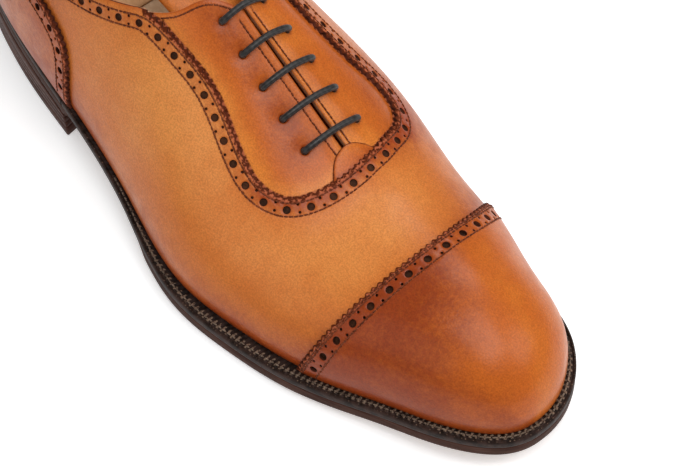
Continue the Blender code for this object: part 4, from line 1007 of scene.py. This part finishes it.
def build_cap():
    toothed, notch = gimped(cap_line, -1)
    outline = np.concatenate([toothed, feather_line(1, toothed[-1, 0] + 2, TOE_TIP, 90),
                              feather_line(-1, TOE_TIP, toothed[0, 0] + 2, 90)])
    drop = np.zeros(len(outline))
    drop[:len(toothed)] = EDGE_DROP - TOOTH_RISE * notch
    holes, rims = brogued(cap_line)
    inner, second, outer = (shifted(even(cap_line, 1.5), -d)
                            for d in (BAND_INNER_STITCH, BAND_INNER_STITCH - 0.75, BAND_OUTER_STITCH))
    guides = rims + groove(inner, 0.3) + groove(outer) + gimp_guides(cap_line)
    feather = both_feathers(75, TOE_X, 90)

    def tint(x, g, skin):
        # Painted highlight: lighter towards the medial side and the toe tip. Painted shade: darker low on the
        # lateral side. Also darker along the cap seam, in a patch on the crown and towards the feather edge.
        value = 0.60 - 0.30 * np.clip((g + 0.15) / 0.35, 0, 1) + 0.15 * np.clip((-0.3 - g) / 0.3, 0, 1)
        value += 0.26 * haze(skin, cap_line, 7.0) - 0.14 * np.clip((x - 112) / 14, 0, 1)
        return value + 0.38 * spot(skin, (98, -0.25), 16) + 0.15 * haze(skin, feather, 6.0)

    leather_piece("toe_cap_leather", "toe_cap", [(outline, drop)], CAP_LAYER,
                  BURNISHED_PIECE, holes, guides, tint=tint, ink_and_shadow=even(cap_line, 0.8), dark_lines=(inner, outer),
                  hole_drop=HOLE_DROP)
    underlay("cap_brogue_underlay", cap_line, -2.0, -7.2, 0.2)
    stitching("cap_edge_stitching", [(inner, 0), (second, 0), (outer, 0)], 1.48)


def counter_edge(side):
    stations = np.linspace(HEEL_X + 1.0, -48, 60)
    top = np.array([(x, girth_at_height(x, float(counter_z(x)), side)) for x in stations])
    front = [(x, girth_at_height(x, z, side)) for x, z in COUNTER_FRONT]
    return np.concatenate([top, smooth_line(front + [(COUNTER_FRONT[-1][0], float(side))], 40)])


def build_counter():
    outlines, holes, guides, rows, edges = [], [], [], [], []
    for side in (-1, 1):
        line = counter_edge(side)
        toothed, notch = gimped(line, side)
        back = [(HEEL_X, girth_at_height(HEEL_X, float(counter_z(HEEL_X)), side))]
        outline = np.concatenate([toothed, feather_line(side, -46, HEEL_X, 70), back])
        drop = np.zeros(len(outline))
        drop[:len(toothed)] = EDGE_DROP - TOOTH_RISE * notch
        outlines.append((outline, drop))
        punched, rims = brogued(line, side)
        holes += [r for r in punched if r[:, 0].min() > HEEL_X + 0.5]
        inner, outer = (shifted(even(line, 1.5), d * side) for d in (BAND_INNER_STITCH, BAND_OUTER_STITCH))
        inner, outer = inner[inner[:, 1] * side < 0.985], outer[outer[:, 1] * side < 0.985]
        guides += rims + groove(inner) + groove(outer) + gimp_guides(line, side)
        rows += [(inner, 0), (outer, 0)]
        edges.append(even(line, 0.8))
        name = "lateral" if side < 0 else "medial"
        underlay("counter_brogue_underlay_" + name, line, 2.0 * side, 7.2 * side, 0.2)
    feather = both_feathers(HEEL_X, -44, 60)
    edge = np.concatenate(edges)

    def tint(x, g, skin):
        value = 0.64 + 0.25 * haze(skin, edge, 6.0) + 0.3 * haze(skin, feather, 6.0)
        return value + 0.2 * np.clip((-90 - x) / 50, 0, 1)

    leather_piece("counter_leather", "heel_counter_cover", outlines, CAP_LAYER, TAN_PIECE, holes,
                  guides, tint=tint, ink_and_shadow=edge, dark_lines=[row for row, _ in rows], hole_drop=HOLE_DROP)
    stitching("counter_edge_stitching", rows, 1.48)


def facing_top(side):
    return even(smooth_line([(x, side * g) for x, g in FACING_TOP], 60), 1.0)


def build_facing(side, name, node_name):
    hidden = even(FACING_OUTER_LATERAL if side < 0 else FACING_OUTER_MEDIAL, 2.0)
    gap = np.array([(x, side * LACING_HALF_GAP) for x in np.linspace(-2, 52, 56)])
    top = facing_top(side)
    outline = np.concatenate([gap, hidden, top])
    drop = np.zeros(len(outline))
    drop[:len(gap)] = 0.3
    drop[-len(top):] = 0.45
    g_eye = EYELET_G[side]
    holes = [ring((x, g_eye), EYELET_HOLE, 16) for x in EYELET_X]
    guides = [(np.concatenate([ring((x, g_eye), wide, 18) for x in EYELET_X]), 0.0)
              for wide in (3.3, 4.6, 6.4, 9.0)]
    inset = 3.0 if side < 0 else 1.6
    row = shifted(even(gap[2:-1], 1.0), side * inset)
    top_row = shifted(even(top, 1.0), side * 1.6)
    top_row = top_row[np.abs(top_row[:, 1]) > abs(row[0, 1])]
    guides += [(shifted(even(gap, 1.2), side * 0.8), 0.0)] + groove(row) + groove(top_row)
    guides += [(shifted(top, side * 0.9), 0.0)]
    line = even(throat, 3.0)
    gap_line = even(gap, 3.0)

    def relief(x, g, skin):
        dip = np.clip(sum(spot(skin, (e, g_eye), 4.0) for e in EYELET_X), 0, 1)
        rim = nearest(skin, form(*np.concatenate([gap_line, top]).T))
        free = (1 - haze(skin, line, 3.0)) * np.clip((rim - 3.6) / 3, 0, 1)
        return 0.4 * free * (1 - dip) - 0.2 * dip

    def tint(x, g, skin):
        eyes = sum(spot(skin, (e, g_eye), 7.5) for e in EYELET_X)
        if side < 0:
            value = 0.52 * (1 - haze(skin, line, 7.0)) + 0.26 * np.clip(eyes, 0, 1.2)
            return value - 0.25 * haze(skin, gap_line, 4.0)
        return 0.10 + 0.25 * np.clip(eyes, 0, 1.2) + 0.48 * np.clip((g - 0.2) / 0.14, 0, 1)

    # The ink_and_shadow band along the throat, under the vamp's toothed edge, is painted shadow of that edge
    leather_piece(name, node_name, [(outline, drop)], INNER_LAYER, FACING_PIECE, holes,
                  guides, relief, tint, shifted(even(throat, 0.8), -1.75), (row, top_row), hole_drop=0.15)
    stitching(name + "_stitching", [(row, 0.14 if side < 0 else 0), (top_row, 0)], -1.5)


def build_throat_tab():
    edge = even(shifted(even(throat, 1.0), GIMP_DEPTH - TAB_TUCK), 1.0)
    edge = edge[(edge[:, 1] > -0.135) & (edge[:, 1] < 0.17) & (edge[:, 0] > 40)]
    arc = smooth_line([edge[-1], (44.0, 0.085), (42.8, 0.02), (43.6, -0.045), edge[0]], 40)
    outline = np.concatenate([even(edge, 1.0), even(arc, 1.0)[1:-1]])
    drop = np.zeros(len(outline))
    drop[len(even(edge, 1.0)):] = 0.45

    def tint(x, g, skin):
        return 0.25 + 0.5 * haze(skin, edge, 3.0)

    guides = [(shifted(even(arc, 0.8), d), 0.0) for d in (0.8, -0.8)]
    # The fine dark line along the arc is painted shadow of the tab's edge
    leather_piece("throat_tab_leather", "throat_tab", [(outline, drop)], TAB_LAYER,
                  BURNISHED_PIECE, guides=guides, tint=tint, dark_lines=(arc,))


def build_linings():
    split = 56.0
    across = np.stack([np.full(80, split), np.linspace(-1, 1, 80)], 1)
    outline = np.concatenate([across, feather_line(1, split + 3, TOE_TIP, 60),
                              feather_line(-1, TOE_TIP, split + 3, 60)])
    leather_piece("vamp_lining_leather", "vamp_lining", [(outline, 0.0)], LINING_LAYER,
                  LINING_PIECE)
    for side, name in ((-1, "quarter_lining_lateral"), (1, "quarter_lining_medial")):
        back = HEEL_X + 0.004
        edge = split - 0.35
        g = np.linspace(LACING_HALF_GAP, 1, 44)
        outline = np.concatenate([
            np.stack([np.full(44, edge), side * g], 1), feather_line(side, edge - 3, back, 150),
            [(back, girth_at_height(back, float(collar_z(back)) - 0.8, side))],
            collar_line(side, HEEL_X + 1, -24, 0.8, 90), facing_top(side) + (1.0, 0),
            [(x, side * LACING_HALF_GAP) for x in np.linspace(2, edge - 2, 40)]])
        g_eye = EYELET_G[side]
        holes = [ring((x, g_eye), LINING_HOLE, 16) for x in EYELET_X]
        leather_piece(name + "_leather", name, [(outline, 0.0)], QUARTER_LINING_LAYER,
                      LINING_PIECE, holes)


def build_tongue():
    base_x, top_x = 52.0, -28.0

    def sunk(x, g, n):
        """How the tongue lies under the form: evenly below it, its free top pressed flat over the instep."""
        depth = -8.2 + 3.6 * smooth((x - 41) / 10)
        free = np.clip((4 - x) / 26, 0, 1)
        crown = np.clip(1 - ((g - 0.015) / 0.36) ** 2, 0, None)
        soft = n.copy()
        soft[:, 1] *= np.clip(np.abs(g - 0.015) / 0.3, 0, 1)
        down = unit(n * (1, 0, 1))
        return soft * (depth / (soft * n).sum(1))[:, None] - down * (8.0 * free * crown)[:, None]

    side = [(top_x + 5, 0.38), (-15, 0.35), (0, 0.29), (20, 0.255), (40, 0.21), (base_x, 0.17)]
    lateral = smooth_line([(x, -g) for x, g in side], 80)
    medial = smooth_line([(x, g + 0.03) for x, g in side], 80)
    ends = [(2, 0.36), (0.5, 0.25), (0, 0.015), (0.5, -0.22), (2, -0.33)]
    top = smooth_line([(top_x + x, g) for x, g in ends], 80)
    outline = np.concatenate([lateral, medial[::-1], top])
    centre = even(top + (5.0, 0), 7.0)[1:-1]
    holes = [ring(c, HOLE_LARGE, 14) for c in centre]
    pairs = (centre[:-1] + centre[1:]) / 2
    holes += [ring((x + d, g), HOLE_SMALL, 8) for x, g in pairs for d in (-1.1, 1.1)]
    row = even(top + (2.2, 0), 1.0)[3:-3]
    second = even(top + (8.0, 0), 1.0)[5:-5]

    def tint(x, g, skin):
        return 0.35 + 0.5 * np.clip((x + 5) / 20, 0, 1)

    leather_piece("tongue_leather", "tongue", [(outline, 0.35)], (-TONGUE_THICKNESS, 0.0),
                  (TAN, PALE_EDGE, LINING), holes, groove(row) + groove(second), tint=tint, lift=sunk,
                  hole_drop=0.15, body="tongue")


build_vamp()
build_cap()
build_counter()
build_facing(-1, "lateral_facing_leather", "facing_lateral")
build_facing(1, "medial_facing_leather", "facing_medial")
build_throat_tab()
build_linings()
build_tongue()


# ---- bottom -----------------------------------------------------------------------------------------
def feather_rows(count):
    """Feather edge in plan: stations, lateral and medial points and their outward directions."""
    rows = np.linspace(0, FINE_ROWS, count)
    x = station_of(rows)
    left = form(x, np.full(count, -1.0))[:, :2]
    right = form(x, np.full(count, 1.0))[:, :2]
    loop = np.concatenate([left, right[::-1][1:-1]])
    n = plan_normals(loop)
    back = np.concatenate([n[:1], n[count:][::-1], n[count - 1:count]])
    return left, right, n[:count], back


def plan_normals(loop):
    """Outward directions of a closed counter-clockwise outline."""
    t = np.roll(loop, -1, axis=0) - np.roll(loop, 1, axis=0)
    return unit(np.stack([t[:, 1], -t[:, 0]], 1))


def stations_of(points):
    return points[:, 0] - CENTRE_SHIFT[0]


def margin_at(points):
    return sole_margin(stations_of(points))[:, None]


def sole_height(points):
    return sole_z(stations_of(points))


def across(left, right, shares):
    """Lattice of points between the sole's two sides, at shares of the way over."""
    shares = np.asarray(shares)[None, :, None]
    return (left[:, None] * (1 - shares) + right[:, None] * shares).reshape(-1, 2)


def run_of(kept):
    """The kept points of a closed loop as one run of indices, in order round the loop."""
    index = np.nonzero(kept)[0]
    jump = np.nonzero(np.diff(index) > 1)[0]
    return np.roll(index, -jump[0] - 1) if len(jump) else index


def solid_on_sole(flat, rise):
    return np.column_stack([flat, sole_height(flat) + rise])


def slab(name, surface, inset, low, high, first, last, node_name):
    """A thin layer lying along the sole's curve, inside the feather edge."""
    left, right, nl, nr = feather_rows(260)
    left, right = left - nl * inset, right - nr * inset
    x = stations_of(left)
    kept = (x > first) & (x < last) & (right[:, 1] > left[:, 1])
    left, right = left[kept], right[kept]
    columns = 14
    count = len(left)
    drop = np.zeros(columns + 1)
    drop[[0, -1]] = (high - low) * 0.35
    flat = across(left, right, [0.004, *np.linspace(0.012, 0.988, columns - 1), 0.996])
    width = columns + 1
    top = solid_on_sole(flat, high - np.tile(drop, count))
    under = solid_on_sole(flat, low)
    total = len(top)
    faces = quads(count, width) + turned_over(quads(count, width, start=total))
    border = [i * width for i in range(count)] + [(count - 1) * width + k for k in range(1, width)]
    border += [i * width + columns for i in range(count - 2, -1, -1)] + list(range(columns - 1, 0, -1))
    faces += [(b, a, a + total, b + total) for a, b in zip(border, border[1:] + border[:1])]
    made = make_object(name, np.concatenate([top, under]), faces, surface)
    dressed(node_name)


def waist_bevel(points):
    """How far the outsole's lower edge is cut in under the waist, from the heel's breast to the joint."""
    x = stations_of(points)
    share = np.clip((x - BREAST_X - 0.5) / 5, 0, 1) * np.clip((12 - x) / 26, 0, 1)
    return (WAIST_BEVEL * share)[:, None]


def build_outsole():
    left, right, nl, nr = feather_rows(360)
    inset, top = 1.0, OUTSOLE_THICKNESS
    edge = [(-inset, 0.0), (-0.45, 0.12), (-0.12, 0.6), (0.0, 1.6), (0.02, 3.0), (0.0, 4.3), (-0.05, 4.85),
            (-0.2, top), (-inset, top)]
    loop = np.concatenate([left, right[::-1][1:-1]])
    n = plan_normals(loop)
    rings = []
    for out, rise in edge:
        cut = waist_bevel(loop) * max(0, 1 - rise / 4.6)
        rings.append(solid_on_sole(loop + n * (margin_at(loop) + out - cut), rise))
    faces = turned_over(quads(len(edge), len(loop), True))
    width = 13
    shares = np.linspace(0, 1, width)
    tread, bed = (across(left + nl * (margin_at(left) - inset - waist_bevel(left) * bevelled),
                         right + nr * (margin_at(right) - inset - waist_bevel(right) * bevelled), shares)
                  for bevelled in (1, 0))
    total = len(edge) * len(loop)
    under = turned_over(quads(len(left), width, start=total))
    over = quads(len(left), width, start=total + len(tread))
    points = np.concatenate([*rings, solid_on_sole(tread, 0.0), solid_on_sole(bed, top)])
    made = make_object("outsole_leather", points, faces + under + over, SOLE_EDGE)
    made.data.materials.append(SOLE_FACE)
    kinds = np.repeat([0, 1, 0], [len(faces), len(under), len(over)])
    made.data.polygons.foreach_set("material_index", kinds.astype(np.int32))
    dressed("outsole")


WELT_PITCH = 1.95
BEAD_PITCH = 1.1
WELT_THREAD_WIDE = 0.62
WELT_TOP = OUTSOLE_THICKNESS + GAP + WELT_THICKNESS


def resampled(loop, spacing):
    """A closed outline with evenly spaced points."""
    closed = np.concatenate([loop, loop[:1]])
    along = lengths(closed)
    q = np.linspace(0, along[-1], int(along[-1] / spacing), endpoint=False)
    return np.stack([np.interp(q, along, c) for c in closed.T], 1), q


def build_welt():
    """Welt and heel rand: a beaded outer edge and a wheeled, stitched top between bead and upper."""
    left, right, _, _ = feather_rows(700)
    spacing = 0.24
    loop, along = resampled(np.concatenate([left, right[::-1][1:-1]]), spacing)
    n = plan_normals(loop)
    for _ in range(30):
        n = unit(n + np.roll(n, 1, axis=0) + np.roll(n, -1, axis=0))
    margin = margin_at(loop)[:, 0]
    room = np.maximum(margin - 1.3, 0.08)
    wheel = np.clip(room / 1.6, 0, 1)
    rough = np.array([noise.noise(Vector((a / 1.7, 0.0, 7.0))) for a in along])
    bead = 0.5 + 0.5 * np.cos(2 * math.pi * along / BEAD_PITCH)

    def ridge(share):
        phase = 2 * math.pi * (along / WELT_PITCH + 0.45 * share)
        return (0.5 + 0.5 * np.cos(phase)) ** 1.6

    flat = np.zeros(len(loop))
    profile = [(flat - 8.0, flat + 5.08), (margin - 0.25, 5.08), (margin - 0.03, 5.14), (margin, 5.6),
               (margin, 6.8), (margin - 0.06, 7.5), (margin - 0.26, 7.86)]
    profile += [(margin - 0.45, 7.96 + 0.14 * bead), (margin - 0.68, 7.98 + 0.14 * bead), (margin - 0.9, 7.8),
                (margin - 1.08, 7.45)]
    # Painted highlight on the bead's crest and on the raised parts of the wheel marks
    ridge_highlights = [flat] * 6 + [0.3 * bead, 0.75 * bead, 0.75 * bead, flat, flat]
    for share in (0.97, 0.85, 0.7, 0.55, 0.4, 0.25, 0.12):
        height = ridge(share) * (0.55 + 0.35 * rough) * wheel * min(1, 6 * (1 - share) + 0.5)
        profile.append((room * share + 0.02, WELT_TOP - 0.15 - height))
        ridge_highlights.append((1 - ridge(share)) * wheel * (0.9 if share > 0.3 else 0.2))
    profile += [(flat - 0.25, 7.9), (flat - 0.8, 8.55), (flat - 8.0, 8.5)]
    ridge_highlights += [flat] * 3
    ridge_highlights = np.stack(ridge_highlights, 1)
    rings = np.stack([solid_on_sole(loop + n * out[:, None], rise) for out, rise in profile], 1)
    width = len(profile)
    station = stations_of(loop)
    for name, kept, node_name in (("welt_leather_strip", station > BREAST_X, "welt"),
                                  ("heel_rand_strip", station <= BREAST_X - 0.4, "heel_rand")):
        index = run_of(kept)
        part = rings[index].reshape(-1, 3)
        faces = quads(len(index), width, True)
        faces += [tuple(range(width)), tuple((len(index) - 1) * width + k for k in range(width))[::-1]]
        made = make_object(name, part, faces, WELT_LEATHER, fields={"ridge_highlight": ridge_highlights[index].ravel()})
        dressed(node_name)
    wide = run_of((station > BREAST_X + 4) & (room > 0.9))
    line = solid_on_sole(loop + n * (room * 0.78)[:, None], WELT_TOP - 0.1)[wide]
    spots = np.arange(0, len(line) - 8, int(round(WELT_PITCH / spacing)))
    up = np.repeat([[0, 0, 1.0]], len(spots), axis=0)
    make_object("welt_stitching", *capsules(line[spots], line[spots + 7], up, WELT_THREAD_WIDE), WELT_THREAD)


def heel_outline(taper, low=-400.0, high=BREAST_X):
    """Heel's outline in plan between two stations; its front is the hollowed breast or a straight cut."""
    left, right, nl, nr = feather_rows(900)
    left = left + nl * (margin_at(left) - taper)
    right = right + nr * (margin_at(right) - taper)
    limit = high + CENTRE_SHIFT[0]
    start = low + CENTRE_SHIFT[0]
    left = left[(left[:, 0] < limit) & (left[:, 0] > start)]
    right = right[(right[:, 0] < limit) & (right[:, 0] > start)]
    y_low = np.interp(limit, left[:, 0], left[:, 1])
    y_high = np.interp(limit, right[:, 0], right[:, 1])
    t = np.linspace(0, 1, 25)
    hollow = 4.0 if high == BREAST_X else 0.0
    front = np.stack([limit - hollow * np.sin(math.pi * t), y_low + (y_high - y_low) * t], 1)
    back = right[::-1]
    loop = np.concatenate([left, front, back])
    gap = np.linalg.norm(loop - np.roll(loop, 1, axis=0), axis=1)
    return resampled(loop[gap > 1e-4], 0.8)[0]


def prism(name, loop, low, high, surface, node_name, chamfer=0.28):
    """A flat layer with slightly rounded edges; high may follow the sole."""
    n = plan_normals(loop)
    top = high(loop) if callable(high) else np.full(len(loop), high)
    foot = np.full(len(loop), low)
    levels = [(chamfer, foot), (0.0, foot + chamfer), (0.0, top - chamfer), (chamfer, top)]
    rings = [np.column_stack([loop - n * inset, z]) for inset, z in levels]
    count = len(loop)
    faces = turned_over(quads(len(levels), count, True))
    faces += [tuple(range(count))[::-1], tuple(3 * count + k for k in range(count))]
    made = make_object(name, np.concatenate(rings), faces, surface)
    made.data.set_sharp_from_angle(angle=math.radians(50))
    dressed(node_name)


def build_heel():
    """Two-part top piece, two level lifts and a wedge up to the sole, with a fine seam between layers."""
    for name, outline, surface, slot in (
            ("leather", heel_outline(HEEL_TAPER, RUBBER_FROM_X + 0.1), HEEL_LEATHER, "heel"),
            ("rubber", heel_outline(HEEL_TAPER, high=RUBBER_FROM_X - 0.1), RUBBER, "rubber")):
        prism("top_piece_%s_part" % name, outline, 0.0, 4.8, surface, "top_piece_" + name)
    lifts = [(4.9, 7.85), (7.95, 10.9), (11.0, lambda p: sole_height(p) - 0.12)]
    for number, (low, high) in enumerate(lifts, 1):
        prism("heel_lift_leather_%d" % number, heel_outline(HEEL_TAPER * (3 - number) / 3), low, high,
              HEEL_LEATHER, "heel_lift_%d" % number, 0.2)


build_outsole()
build_welt()
build_heel()
slab("insole_leather_layer", INSOLE, 4.5, 8.9, 11.8, HEEL_X - 9, TOE_X + 9, "insole")
slab("heel_sock_leather", LINING, 6.5, 12.05, 13.0, HEEL_X - 9, -56, "heel_sock")

carried = {"cork_filler": CORK, "insole_rib": CANVAS, "shank": STEEL, "heel_stiffener": BOARD,
           "toe_puff": BOARD, "aglet_1": AGLET, "aglet_2": AGLET}
carried.update({"heel_nail_%d" % k: BRASS for k in range(1, 6)})
carried.update({"eyelet_%s_%d" % (side, k): EYELET for side in ("lateral", "medial") for k in range(1, 6)})
for name, surface in carried.items():
    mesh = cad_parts[name].data
    mesh.materials.clear()
    mesh.materials.append(surface)


# ---- floor and light --------------------------------------------------------------------------------
def build_stage():
    mesh = bpy.data.meshes.new("floor")
    half = 4.0
    corners = [(-half, -half, 0), (half, -half, 0), (half, half, 0), (-half, half, 0)]
    mesh.from_pydata(corners, [], [(0, 1, 2, 3)])
    made, tree, shader = new_material("pale_floor")
    fine = texture(tree, "Noise", 3.0, detail=2.0)
    paint(tree, shader, mix(tree, fine, (0.90, 0.90, 0.905), (0.92, 0.92, 0.92)), 0.9)
    shader.inputs["Specular IOR Level"].default_value = 0.1
    shader.inputs["Emission Color"].default_value = (1, 1, 1, 1)
    shader.inputs["Emission Strength"].default_value = 0.4
    mesh.materials.append(made)
    floor = bpy.data.objects.new("floor", mesh)
    bpy.context.scene.collection.objects.link(floor)


def add_light(name, place, target, size, power):
    """A soft square light at a place in metres, facing a target."""
    data = bpy.data.lights.new(name, "AREA")
    data.shape = "RECTANGLE"
    data.size = data.size_y = size
    data.energy = power
    light = bpy.data.objects.new(name, data)
    light.location = place
    light.rotation_euler = (Vector(target) - Vector(place)).to_track_quat("-Z", "Y").to_euler()
    bpy.context.scene.collection.objects.link(light)


build_stage()
add_light("key", (0.34, 0.02, 1.16), (0.03, 0.0, 0.02), 0.7, 7.6)
add_light("medial", (0.60, 0.55, 0.75), (0.03, 0.0, 0.03), 0.45, 2.4)
add_light("back", (-0.32, 0.50, 1.00), (0.08, 0.01, 0.04), 0.36, 2.6)
add_light("lateral", (0.06, -0.95, 0.78), (0.0, 0.0, 0.03), 0.8, 2.0)
world = bpy.data.worlds.new("studio")
world.use_nodes = True
background = world.node_tree.nodes["Background"]
background.inputs["Color"].default_value = (1.0, 1.0, 1.0, 1)
background.inputs["Strength"].default_value = 0.28
bpy.context.scene.world = world
view = bpy.context.scene.view_settings
view.view_transform = "Standard"
view.look = "None"
